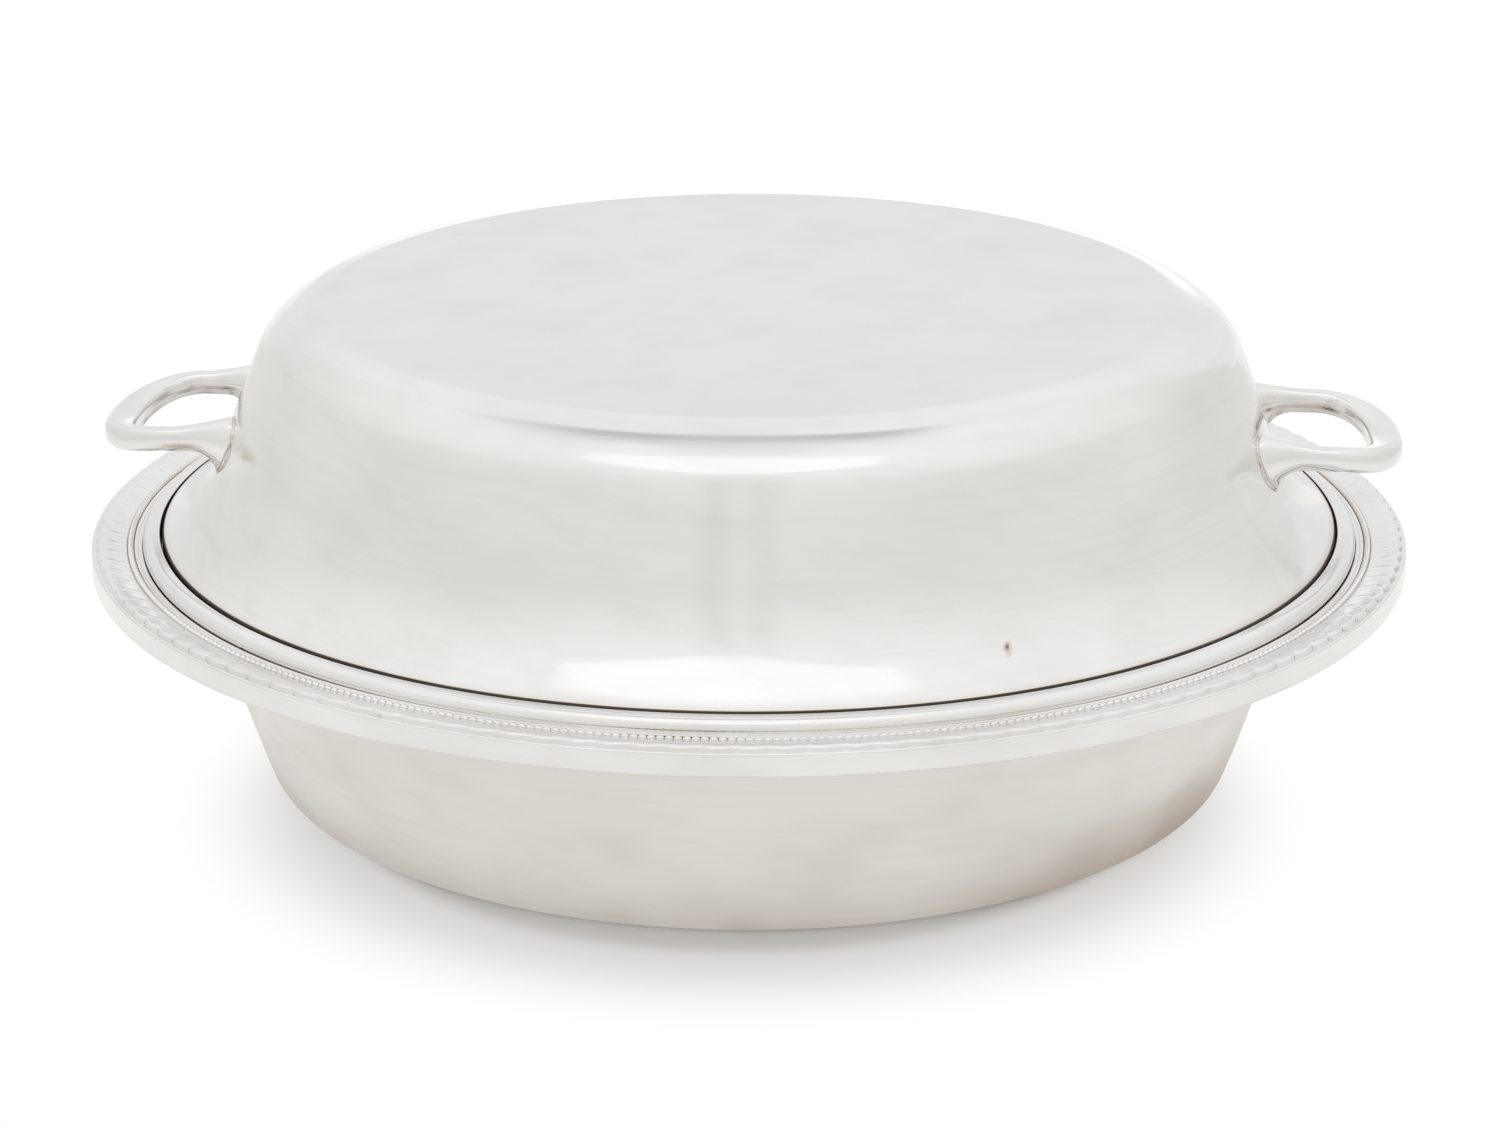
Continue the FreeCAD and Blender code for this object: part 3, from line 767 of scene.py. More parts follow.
@dataclass
class Border:
    """Wires and struck strip on the flange: edge wire, tongues, beads and reeds."""

    dish: Dish
    roll_height: float = 5.9
    roll_stand: float = 1.6
    roll_stand_unworn: float = 2.3
    roll_outer_round: float = 0.5
    roll_inner_round: float = 0.55
    tongue_width: float = 4.9
    tongue_lap: float = 2.3
    tongue_count: int = 132
    tongue_ground: float = 0.75
    tongue_height: float = 2.60
    tongue_slant: float = 0.18
    tongue_steps: int = 16
    tongue_rows: int = 40
    bead_radius: float = 0.88
    bead_wire_radius: float = 0.70
    bead_pitch: float = 1.80
    bead_lift: float = 0.28
    bead_neck_radius: float = 0.42
    bead_steps: int = 8
    bead_sides: int = 12
    reed_width: float = 0.75
    reed_side: float = 1.20
    reed_top_angle: float = 62.0
    reed_lean: float = 0.40
    # Painted shade in the gap between the reeds and the beads, at the front.
    front_shade: Spot = Spot(267.8, 7.0)
    open_corners: tuple[Spot, Spot] = (Spot(225.0, 24.0), Spot(325.0, 26.0))
    steps_around: int = 720

    def corners(self, angle: Grid) -> Grid:
        """Where the reeds stand open towards the cover, in front on the left and on the right."""
        left, right = self.open_corners
        return left.share(angle) + right.share(angle)

    @property
    def foot(self) -> float:
        """Underside of the pieces that stand on the flange."""
        return self.dish.flange_height + self.dish.solder_gap

    @property
    def tongue_inside(self) -> float:
        """Inside of the strip of tongues."""
        return self.dish.flange_end - self.tongue_width

    @property
    def bead_middle(self) -> float:
        """Radius of the circle through the middles of the beads."""
        return self.tongue_inside - self.dish.solder_gap - self.bead_wire_radius

    @property
    def reed_outside(self) -> float:
        """Outside of the reeded wire."""
        return self.bead_middle - self.bead_wire_radius - self.dish.solder_gap

    @property
    def reed_inside(self) -> float:
        """Inside of the reeded wire."""
        return self.reed_outside - 2.0 * self.reed_width

    def build_roll(self, finish: SilverFinish) -> None:
        """Plain edge wire, worn a little uneven on its crown.

        Args:
            finish: Finish of the piece.
        """
        dish = self.dish
        inner = dish.rim_radius - dish.roll_width
        crown = dish.flange_height + self.roll_stand
        foot = dish.flange_height + self.roll_stand_unworn - self.roll_height
        outer, small = self.roll_outer_round, self.roll_inner_round
        profile = Profile([(inner, foot + small)], 12.0)
        profile.arc(inner + small, foot, small, Way.LEFT)
        profile.line(dish.rim_radius - outer, foot)
        profile.arc_step = 7.0
        profile.arc(dish.rim_radius, foot + outer, outer, Way.LEFT)
        profile.line(dish.rim_radius, crown - outer)
        profile.arc(dish.rim_radius - outer, crown, outer, Way.LEFT)
        profile.line(inner + small, crown)
        profile.arc(inner, crown - small, small, Way.LEFT)
        profile.line(inner, foot + small)

        def warp(angle: Grid, radius: Grid, height: Grid) -> tuple[Grid, Grid]:
            """Wear of the crown and slight waves of the outside.

            Args:
                angle: Angle round the axis, in radians.
                radius: Distance from the axis.
                height: Height over the table.

            Returns:
                How far each point moves outward and upward.
            """
            high = smooth_step(height, crown - 2.5, crown)
            side = smooth_step(radius, inner + 0.5, inner + 2.5)
            waves = 0.05 * slow_wave(angle, 2.2) + 0.02 * np.sin(29.0 * angle)
            return side * waves, high * waves * 0.8

        def tarnish_and_shade(angle: Grid, radius: Grid, height: Grid) -> Grid:
            """Brown film on the side of the tongues, and brown painted shade at the foot of the wire.

            Args:
                angle: Angle round the axis, in radians.
                radius: Distance from the axis.
                height: Height over the table.

            Returns:
                Tarnish and painted shade of each point, from 0 to 1.
            """
            inside = 0.75 * smooth_step(radius, inner + 0.5, inner) * (0.5 + 0.5 * patches(angle, 3.0))
            # Painted shade at the foot of the wire.
            under = 0.35 * smooth_step(height, foot + 1.0, foot)
            return np.maximum(inside, under)

        mesh = turned("edge_roll_wire", profile.array(), self.steps_around, warp, tarnish_and_shade)
        mesh.build(Body.DISH, Slot.WIRE, finish, ("dish_edge_roll",))

    def tongue_relief(self, share: Grid, across: Grid) -> tuple[Grid, Grid]:
        """Height of the struck strip over its foot, and how deep a point lies in a groove.

        Each tongue is a low cushion that rises outward to a crest and rolls over to a rounded end. Its
        outline is the share 0.98 less 0.11 times the distance from its middle to the power 1.8, which
        leaves a cusp between two ends. A narrow groove parts it from its neighbours.

        Args:
            share: 0 at the inside of the strip and 1 at its outside.
            across: Minus 1 to 1 over one pitch, 0 along the middle of a tongue.

        Returns:
            The height in millimetres and the depth, from 0 to 0.6.
        """
        outline = 0.98 - 0.11 * np.abs(across) ** 1.8
        along = share / outline
        climb = 0.30 + 0.70 * smooth_step(along, -0.15, 0.75)
        fall = np.sqrt(np.clip(1.0 - (np.clip(along - 0.88, 0.0, 1.0) / 0.125) ** 2, 0.0, 1.0))
        cushion = 1.0 - 0.05 * np.abs(across) ** 3
        groove = smooth_step(np.abs(across), 0.84, 0.99) * hump(share, 0.40, 0.24)
        body = climb * (0.40 + 0.60 * fall) * cushion * (1.0 - 0.10 * groove)
        inside = smooth_step(along, 1.02, 1.0)
        rise = (self.tongue_height - self.tongue_ground) * body * inside
        return self.tongue_ground + rise, groove * 0.6

    def build_tongues(self, finish: SilverFinish) -> None:
        """Struck strip of tongues, closed below, as a height over radius and angle.

        Its rows lie closer together towards the rounded ends of the tongues.

        Args:
            finish: Finish of the piece.
        """
        around = self.tongue_count * self.tongue_steps
        turn = np.linspace(0.0, 1.0, around, endpoint=False)[:, None]
        share = (np.linspace(0.0, 1.0, self.tongue_rows) ** 0.62)[None, :]
        phase = turn * self.tongue_count + self.tongue_slant * share
        across = 2.0 * (phase - np.floor(phase)) - 1.0
        height, depth = self.tongue_relief(share, across)
        outside = self.dish.flange_end + self.tongue_lap
        radius = self.tongue_inside + (outside - self.tongue_inside) * share
        angle = FULL_TURN * turn
        wear = 0.05 * slow_wave(angle, 4.0)
        top = self.foot + height + wear
        column = np.ones((around, 1))
        radius = np.broadcast_to(radius, top.shape)
        radii = np.concatenate([column * self.tongue_inside, radius, column * outside], axis=1)
        heights = np.concatenate([column * self.foot, top, column * self.foot], axis=1)
        places = round_axis(radii, angle, heights)
        patchy = patches(angle, 5.2)
        light = 0.03 + 0.05 * patches(angle, 9.0)
        # Patina in the grooves, with painted shade that makes them darker at the left and right sides.
        dirt_and_shade = light + depth * (0.12 + 0.62 * patchy**1.5) * (0.10 + 0.90 * np.cos(angle) ** 2)
        edge = column * 0.8
        mesh = closed_grid("tongue_strip", places, np.concatenate([edge, dirt_and_shade, edge], axis=1))
        mesh.build(Body.DISH, Slot.STRUCK, finish, ("tongue_border",), FINE_CREASE)

    def build_beads(self, finish: SilverFinish) -> None:
        """Beaded wire: a tube whose radius is that of the nearest ball, with a thin neck between balls.

        Args:
            finish: Finish of the piece.
        """
        circle = FULL_TURN * self.bead_middle
        count = round(circle / self.bead_pitch)
        around = count * self.bead_steps
        turn = np.linspace(0.0, 1.0, around, endpoint=False)[:, None]
        away = (turn * count) % 1.0 - 0.5
        along = np.abs(away) * circle / count
        ball = np.sqrt(np.clip(self.bead_radius**2 - along**2, 0.0, None))
        size = np.maximum(ball, self.bead_neck_radius)
        section = full_turn(self.bead_sides)[None, :]
        angle = FULL_TURN * turn
        middle = self.foot + self.bead_wire_radius + self.bead_lift
        reach = self.bead_wire_radius
        radius = self.bead_middle + np.clip(size * np.cos(section), -reach, reach)
        height = middle + np.clip(size * np.sin(section), self.foot - middle, None)
        places = round_axis(radius, angle, height)
        # Patina in the necks between the balls; painted shade low on the wire and on its inner side,
        # deepened at the front.
        neck = 1.0 - smooth_step(ball, 0.1, 0.55)
        low = smooth_step(np.sin(section), 0.45, -0.2)
        inner = smooth_step(np.cos(section), 0.3, -0.7)
        patchy = 0.25 + 0.35 * patches(angle, 7.7) + 0.35 * self.front_shade.share(angle)
        dirt_and_shade = np.clip(neck * 0.9 * patchy + low * 0.9 + inner * 0.8 * patchy + 0.05, 0.0, 1.0)
        mesh = closed_grid("bead_row", places, dirt_and_shade)
        mesh.build(Body.DISH, Slot.STRUCK, finish, ("bead_wire",), FINE_CREASE)

    def build_reeds(self, finish: SilverFinish) -> None:
        """Double wire round the cover, each reed with a round top.

        Args:
            finish: Finish of the piece.
        """
        side = self.foot + self.reed_side
        bend = self.reed_width / 2.0 / math.sin(math.radians(self.reed_top_angle))
        outer, inner = self.reed_outside, self.reed_inside
        profile = Profile([(inner, self.foot)], 12.0)
        profile.line(outer, self.foot)
        profile.line(outer, side)
        profile.arc(outer - self.reed_width, side, bend, Way.LEFT)
        profile.arc(inner, side, bend, Way.LEFT)
        profile.line(inner, self.foot)

        def tarnish_and_shade(angle: Grid, radius: Grid, height: Grid) -> Grid:
            """Painted shade on the side of the cover, deepest where the reeds stand open, brown between the
            reeds and beside the beads, and painted shade beside the beads at the front.

            Args:
                angle: Angle round the axis, in radians.
                radius: Distance from the axis.
                height: Height over the table; not used.

            Returns:
                Tarnish and painted shade of each point, from 0 to 1.
            """
            # Painted shade on the inner face, deepest in the open corners.
            dark = smooth_step(radius, inner + 0.12, inner) * (0.08 + 0.50 * self.corners(angle))
            between = 0.14 * hump(radius, outer - self.reed_width, 0.10)
            beside = 0.16 * smooth_step(radius, outer - 0.12, outer)
            # Painted shade beside the beads at the front.
            front = self.front_shade.share(angle) * smooth_step(radius, outer - 0.30, outer - 0.05)
            dark = np.maximum(dark, 0.95 * front)
            return np.maximum(dark, (between + beside) * (0.4 + 0.6 * patches(angle, 6.0)) + 0.10)

        def warp(angle: Grid, radius: Grid, height: Grid) -> tuple[Grid, Grid]:
            """Small unevenness of the bent wire, which leans on the cover except at two front corners.

            Args:
                angle: Angle round the axis, in radians.
                radius: Distance from the axis.
                height: Height over the table.

            Returns:
                How far each point moves outward and upward.
            """
            waves = 0.04 * slow_wave(angle, 1.4) + np.zeros_like(radius)
            lean = 1.0 - 0.9 * np.clip(self.corners(angle), 0.0, 1.0)
            inside = smooth_step(radius, outer, inner)
            outward = waves * 0.5 - self.reed_lean * lean * inside
            return outward, np.where(height > self.foot + 0.2, waves, 0.0)

        mesh = turned("reed_wire", profile.array(), self.steps_around, warp, tarnish_and_shade)
        mesh.build(Body.DISH, Slot.WIRE, finish, ("reeded_wire",))


@dataclass
class Cover:
    """Raised cover with its flared foot and the moulding soldered round it."""

    border: Border
    height: float = 110.0
    sheet: float = 0.9
    shoulder_top_share: float = 0.291
    shoulder_side_share: float = 0.491
    shoulder_break: float = 45.0
    wall_inset_share: float = 0.3611
    wall_lean: float = 16.5
    foot_rise: float = 4.8
    foot_bend: float = 1.15
    foot_slope: float = 32.0
    seat_gap: float = 0.1
    ring_fit: float = 0.3
    ring_clearance: float = 0.45
    ring_width: float = 4.2
    ring_height: float = 4.25
    ring_outer_round: float = 2.5
    ring_inner_round: float = 0.45
    ring_foot_round: float = 0.4
    shoulder_slopes: tuple[tuple[float, float], ...] = (
        (0.0, 1.0), (0.9, 9.0), (7.9, 28.4), (12.2, 31.5),
        (14.2, 39.0), (16.8, 51.0), (19.6, 66.5), (27.4, 73.5),
    )
    shoulder_steps: int = 64
    flare_arc_step: float = 2.5
    foot_arc_step: float = 8.0
    inner_foot_arc_step: float = 15.0
    inner_arc_step: float = 5.0
    open_slit: Spot = Spot(222.0, 38.0)
    narrow_slit: Spot = Spot(292.0, 22.0)
    drawn_left: Spot = Spot(185.0, 62.0)
    drawn_right: Spot = Spot(355.0, 62.0)
    pit: Spot = Spot(298.3, 0.45)
    pit_height: float = 66.0
    steps_around: int = 560

    @property
    def rise(self) -> float:
        """Height of the cover over the flange."""
        return self.height - self.border.dish.flange_height

    @property
    def seat(self) -> float:
        """Underside of the closed cover."""
        return self.border.dish.flange_height + self.seat_gap

    @property
    def ring_outside(self) -> float:
        """Outside of the moulding."""
        return self.border.reed_inside - self.ring_clearance

    @property
    def foot_radius(self) -> float:
        """Outside of the turned down foot of the sheet."""
        return self.ring_outside - self.ring_width - self.ring_fit

    def face(self, inset: float) -> dict[str, tuple]:
        """Corners and radii of one face of the sheet, from the crease of the flat top to the foot.

        Args:
            inset: Distance inward from the outer face.

        Returns:
            Corners by name, each a radius and a height, and the radii of the four arcs.
        """
        brk, lean, slope = (math.radians(a) for a in (self.shoulder_break, self.wall_lean, self.foot_slope))
        top, side = self.shoulder_top_share * self.rise, self.shoulder_side_share * self.rise
        side_x = self.foot_radius - self.wall_inset_share * self.rise - side * math.cos(lean)
        crease = side_x + (side - top) * math.sin(brk)
        top_z = self.height - top
        side_z = top_z - (side - top) * math.cos(brk)
        foot_x = self.foot_radius - self.foot_bend
        foot_z = self.border.dish.flange_height + self.foot_rise - self.foot_bend
        reach = (foot_x + self.foot_bend * math.sin(slope) - side_x) * math.cos(lean)
        reach += (foot_z + self.foot_bend * math.cos(slope) - side_z) * math.sin(lean) - side
        flare = reach / (1.0 - math.sin(slope + lean))
        flare_x = foot_x + (self.foot_bend + flare) * math.sin(slope)
        flare_z = foot_z + (self.foot_bend + flare) * math.cos(slope)
        a, b, c, d = top - inset, side - inset, flare + inset, self.foot_bend - inset
        return {
            "crease": (crease, self.height - inset),
            "break": (crease + a * math.sin(brk), top_z + a * math.cos(brk)),
            "wall_top": (side_x + b * math.cos(lean), side_z + b * math.sin(lean)),
            "wall_foot": (flare_x - c * math.cos(lean), flare_z - c * math.sin(lean)),
            "foot_start": (foot_x + d * math.sin(slope), foot_z + d * math.cos(slope)),
            "foot_end": (foot_x + d, foot_z),
            "seat": (foot_x + d, self.seat),
            "bends": (a, b, c, d),
        }

    def outline(self) -> Grid:
        """Closed outline of the sheet: outer face, seat, inner face.

        Returns:
            Points as rows of radius and height.
        """
        out, ins = self.face(0.0), self.face(self.sheet)
        profile = Profile([(0.0, self.height)], 2.0)
        profile.line(*out["crease"], 14)
        profile.slopes(self.shoulder_slopes, self.shoulder_steps)
        profile.line(*out["wall_foot"], 5)
        profile.arc_step = self.flare_arc_step
        profile.arc(*out["foot_start"], out["bends"][2], Way.LEFT)
        profile.arc_step = self.foot_arc_step
        profile.arc(*out["foot_end"], out["bends"][3], Way.RIGHT)
        profile.line(*out["seat"])
        profile.line(*ins["seat"])
        profile.line(*ins["foot_end"])
        profile.arc_step = self.inner_foot_arc_step
        profile.arc(*ins["foot_start"], ins["bends"][3], Way.LEFT)
        profile.arc_step = self.inner_arc_step
        profile.arc(*ins["wall_foot"], ins["bends"][2], Way.RIGHT)
        profile.line(*ins["wall_top"], 3)
        profile.arc(*ins["break"], ins["bends"][1], Way.LEFT)
        profile.arc(*ins["crease"], ins["bends"][0], Way.LEFT)
        profile.line(0.0, ins["crease"][1], 8)
        return profile.array()

    def wall_line(self) -> Grid:
        """Outer face from the crease down to the foot, sorted by height for look-up.

        Returns:
            Points as rows of radius and height, the lowest first.
        """
        out = self.face(0.0)
        profile = Profile([out["crease"]], 1.0)
        profile.slopes(self.shoulder_slopes, self.shoulder_steps)
        profile.line(*out["wall_foot"], 8)
        profile.arc(*out["foot_start"], out["bends"][2], Way.LEFT)
        return profile.array()[::-1]

    def warp(self, angle: Grid, radius: Grid, height: Grid) -> tuple[Grid, Grid]:
        """Unevenness of hand raising, a shoulder drawn in at both sides and a top not quite flat.

        Args:
            angle: Angle round the axis, in radians.
            radius: Distance from the axis.
            height: Height over the table.

        Returns:
            How far each point moves outward and upward.
        """
        flange = self.border.dish.flange_height
        off_top = smooth_step(radius, 92.0, 104.0)
        wall = smooth_step(height, flange + 4.0, flange + 9.0) * off_top
        waves = 0.11 * slow_wave(angle, 5.1) + 0.03 * np.sin(13.0 * angle + 0.3 * height)
        waves = waves + 0.025 * np.sin(8.0 * angle - 0.45 * height)
        sides = 1.35 * self.drawn_left.share(angle) + 0.95 * self.drawn_right.share(angle)
        sides = sides * smooth_step(height, 84.0, 97.0) * smooth_step(height, 109.6, 104.0)
        waves = waves - sides * off_top
        flat = smooth_step(radius, 97.0, 80.0) * smooth_step(height, self.height - 8.0, self.height - 1.2)
        bulge = -0.10 * hump(radius, 0.0, 70.0) + 0.03 * np.sin(3.0 * angle + radius * 0.05)
        bulge = bulge * smooth_step(radius, 0.0, 20.0)
        return wall * waves, flat * np.minimum(bulge, 0.0)

    def tarnish_and_shade(self, angle: Grid, radius: Grid, height: Grid) -> Grid:
        """Dark deposit in the slit round the foot, widest at the front left, a film above it and a pit.

        Args:
            angle: Angle round the axis, in radians.
            radius: Distance from the axis.
            height: Height over the table.

        Returns:
            Tarnish of each point, from 0 to 1.
        """
        flange = self.border.dish.flange_height
        wide = 0.25 + 0.75 * self.open_slit.share(angle) + 0.55 * self.narrow_slit.share(angle)
        reach = 0.20 + 0.70 * np.clip(wide, 0.0, 1.0)
        top = flange + self.foot_rise
        slit = smooth_step(radius, self.foot_radius - 0.9, self.foot_radius - 0.15)
        crack = smooth_step((top - height) / reach, -0.1, 0.55) * slit
        film = 0.25 * smooth_step(radius, self.foot_radius - 5.0, self.foot_radius - 1.0)
        film = film * smooth_step(height, flange + 7.0, flange + 4.0) * patches(angle, 8.2)
        pit = self.pit.share(angle) * hump(height, self.pit_height, 0.8)
        pit = np.where(radius > 100.0, pit, 0.0)
        return np.clip(np.maximum(np.maximum(crack, film), pit), 0.0, 1.0)

    def build_bowl(self, finish: SilverFinish) -> None:
        """Make the sheet of the cover."""
        mesh = turned("cover_raised", self.outline(), self.steps_around, self.warp, self.tarnish_and_shade)
        mesh.build(Body.COVER, Slot.RAISED, finish, ("cover_bowl",))

    def build_ring(self, finish: SilverFinish) -> None:
        """Plain rounded moulding round the foot.

        Args:
            finish: Finish of the piece.
        """
        outer, inner = self.ring_outside, self.foot_radius + self.ring_fit
        crown, foot = self.seat + self.ring_height, self.seat
        profile = Profile([(inner, foot)], 7.0)
        profile.line(outer - self.ring_foot_round, foot)
        profile.arc(outer, foot + self.ring_foot_round, self.ring_foot_round, Way.LEFT)
        profile.line(outer, crown - self.ring_outer_round)
        profile.arc(outer - self.ring_outer_round, crown, self.ring_outer_round, Way.LEFT)
        profile.line(inner + self.ring_inner_round, crown)
        profile.arc(inner, crown - self.ring_inner_round, self.ring_inner_round, Way.LEFT)
        profile.line(inner, foot)

        def tarnish_and_shade(angle: Grid, radius: Grid, height: Grid) -> Grid:
            """Dark towards the sheet, and a thin film low on the outside, where the reeds hide it.

            Args:
                angle: Angle round the axis, in radians; not used.
                radius: Distance from the axis.
                height: Height over the table.

            Returns:
                Tarnish of each point, from 0 to 1.
            """
            slit = smooth_step(radius, inner + 0.25, inner)
            low = smooth_step(radius, outer - 0.25, outer) * smooth_step(height, foot + 1.6, foot + 0.4)
            return np.clip(slit * 0.95 + 0.12 * low, 0.0, 1.0)

        def warp(angle: Grid, radius: Grid, height: Grid) -> tuple[Grid, Grid]:
            """The ring is a little uneven and stands off the sheet, most at the front left.

            Args:
                angle: Angle round the axis, in radians.
                radius: Distance from the axis.
                height: Height over the table.

            Returns:
                How far each point moves outward and upward.
            """
            stand_off = 0.45 * self.open_slit.share(angle) + 0.18 * self.narrow_slit.share(angle)
            inside = smooth_step(radius, inner + 1.8, inner + 0.1)
            waves = 0.04 * slow_wave(angle, 3.6) + np.zeros_like(radius)
            rise = np.where(height > foot + 0.5, waves * 0.6, 0.0)
            return stand_off * inside + waves * 0.5 * (1.0 - inside), rise

        mesh = turned("cover_ring_moulding", profile.array(), self.steps_around, warp, tarnish_and_shade)
        mesh.build(Body.COVER, Slot.WIRE, finish, ("cover_edge_ring",))


@dataclass(frozen=True)
class Stain:
    """Dark crust on a handle.

    Attributes:
        along: Place from foot to foot, from 0 to 1.
        spread: Half its length, as a share of the way from foot to foot.
        turned: Angle round the section, in degrees: 0 is outward, 90 is up and 180 is inward.
        width: Half its width round the section, in degrees.
    """

    along: float
    spread: float
    turned: float
    width: float

    def share(self, place: Grid, turn: Grid) -> Grid:
        """Strength over the place from foot to foot and the angle round the section in radians."""
        return hump(place, self.along, self.spread) * hump(np.degrees(turn), self.turned, self.width)


@dataclass
class Handle:
    """Cast D-shaped handle with two trumpet feet, and the solder seam round each foot.

    Attributes:
        cover: Cover that the handle is soldered on.
        name: Name of the handle.
        node: Node of the frame that it stands for.
        side: 1 on the right and minus 1 on the left.
        stains: Dark crusts on it.
    """

    cover: Cover
    name: str
    node: str
    side: int
    spread: float = 45.5
    share: float = 0.465
    droop: float = 2.8
    bow_length: float = 15.4
    bow_shape: float = 2.46
    leg_width: float = 4.7
    leg_thickness: float = 5.4
    grip_width: float = 7.8
    grip_thickness: float = 6.4
    flare_length: float = 9.0
    leg_length: float = 4.1
    pad_width: float = 9.6
    front_rise: float = 5.2
    back_rise: float = 4.2
    rise_length: float = 12.5
    pad_drop: float = 8.3
    seam_radius: float = 0.5
    seam_steps: int = 4
    seam_sides: int = 10
    crown_powers: tuple[float, float] = (3.0, 2.6)
    underside_powers: tuple[float, float] = (2.2, 2.3)
    section_steps: int = 72
    bow_steps: int = 60
    stains: tuple[Stain, ...] = ()

    @property
    def height(self) -> float:
        """Height of the middle of the legs."""
        return self.cover.border.dish.flange_height + self.share * self.cover.rise

    def wall(self, across: Grid | float, height: Grid | float) -> Grid:
        """Distance of the cover wall from the plane between the handles.

        It is the square root of the squared wall radius at that height less the squared offset.

        Args:
            across: Distance from the middle plane between front and back.
            height: Height over the table.

        Returns:
            The distance, to the side of the handle.
        """
        line = self.cover.wall_line()
        radius = np.interp(height, line[:, 1], line[:, 0])
        return np.sqrt(np.clip(radius**2 - np.square(across), 0.0, None))

    def section(self, width: Grid, rise: Grid, drop: Grid, point: Grid) -> tuple:
        """Closed section of the casting: a flat crown, full sides and a rounder underside.

        Above its middle and below it is a superellipse, with a power across and one up or down each.
        The underside is drawn to a point where the foot hangs down the wall.

        Args:
            width: Full width of each section.
            rise: Height over the middle.
            drop: Depth under the middle.
            point: 0 for a round underside and 1 for one that ends in a point.

        Returns:
            Sideways and upward distances, one row for each section.
        """
        turn = full_turn(self.section_steps)[None, :]
        cosine, sine = np.cos(turn), np.sin(turn)
        above = sine >= 0.0
        crown, underside = self.crown_powers, self.underside_powers
        power = np.where(above, 2.0 / crown[0], 2.0 / underside[0] + 0.75 * point)
        across = signed_power(cosine, power) * width / 2.0
        up, down = (np.abs(sine) ** (2.0 / powers[1]) for powers in (crown, underside))
        lift = np.where(above, up * rise, -down * drop)
        seam = -0.14 * hump(turn, math.pi, 0.10) * (1.0 - point)
        return across + seam, lift

    def foot_rows(self, end: int) -> tuple[Grid, ...]:
        """Rows of one leg, from just inside the wall to the end of its flare.

        Args:
            end: 1 for the leg at the far side and minus 1 for the near one.

        Returns:
            Places of the rows and how far each row is from the wall, from 0 to 1.
        """
        near = [-0.03, 0.0, 0.02, 0.04, 0.07, 0.11, 0.16, 0.22]
        away = np.array([*near, 0.29, 0.37, 0.46, 0.56, 0.67, 0.78, 0.89, 1.0])[:, None]
        flare = (1.0 - np.clip(away, 0.0, 1.0)) ** 2
        half = self.leg_thickness / 2.0
        lip = 1.0 - 0.10 * smooth_step(away, 0.10, 0.0)
        width = (self.leg_width + (self.pad_width - self.leg_width) * flare) * lip
        front = end * self.side < 0
        rise = self.rise(away * self.flare_length, front) * lip
        drop = (half + (self.pad_drop - half) * flare) * lip
        across, lift = self.section(width, rise, drop, smooth_step(flare, 0.1, 0.9))
        y = end * (self.spread / 2.0 + across)
        z = self.height + lift
        leg_end = self.wall(self.spread / 2.0, self.height) + self.flare_length
        x = (1.0 - away) * self.wall(y, z) + away * leg_end
        return np.stack((x, y, z), axis=-1), away

    def rise(self, away: Grid, front: bool) -> Grid:
        """Height of a leg over its middle, which climbs to the foot almost along a straight line.

        Args:
            away: Distance from the wall.
            front: True for the leg at the front of the cover.

        Returns:
            The height in millimetres.
        """
        half = self.leg_thickness / 2.0
        top = self.front_rise if front else self.back_rise
        return half + (top - half) * np.clip(1.0 - away / self.rise_length, 0.0, 1.0) ** 1.3

    def leg_rows(self, end: int, start: float) -> Grid:
        """Rows of the straight part of one leg.

        Args:
            end: 1 for the leg at the far side and minus 1 for the near one.
            start: Distance at which the bow starts.

        Returns:
            Places of the rows.
        """
        shares = np.array([0.75, 0.5, 0.25])[:, None]
        x = start - self.leg_length * shares
        half = np.full_like(x, self.leg_thickness / 2.0)
        rise = self.rise(self.flare_length + self.leg_length * (1.0 - shares), end * self.side < 0)
        across, lift = self.section(np.full_like(x, self.leg_width), rise, half, np.zeros_like(x))
        y = end * (self.spread / 2.0 + across)
        return np.stack((np.broadcast_to(x, y.shape), y, self.height + lift), axis=-1)

    def bow_rows(self, start: float) -> Grid:
        """Rows of the bow, whose middle line is half a superellipse that droops outward.

        Args:
            start: Distance at which the bow starts.

        Returns:
            Places of the rows.
        """
        turn = np.linspace(0.0, math.pi, self.bow_steps + 1)[:, None]
        power = 2.0 / self.bow_shape
        reach = np.clip(np.sin(turn), 0.0, None) ** power
        over = signed_power(np.cos(turn), power)
        steep = self.bow_shape - 1.0
        normal_x = reach**steep / self.bow_length
        normal_y = signed_power(over, steep) / (self.spread / 2.0)
        length = np.hypot(normal_x, normal_y)
        width = self.leg_width + (self.grip_width - self.leg_width) * reach**2
        thick = (self.leg_thickness + (self.grip_thickness - self.leg_thickness) * reach**2) / 2.0
        across, lift = self.section(width, thick, thick, np.zeros_like(width))
        return np.stack((
            start + self.bow_length * reach + across * normal_x / length,
            over * self.spread / 2.0 + across * normal_y / length,
            self.height - self.droop * reach**2 + lift,
        ), axis=-1)

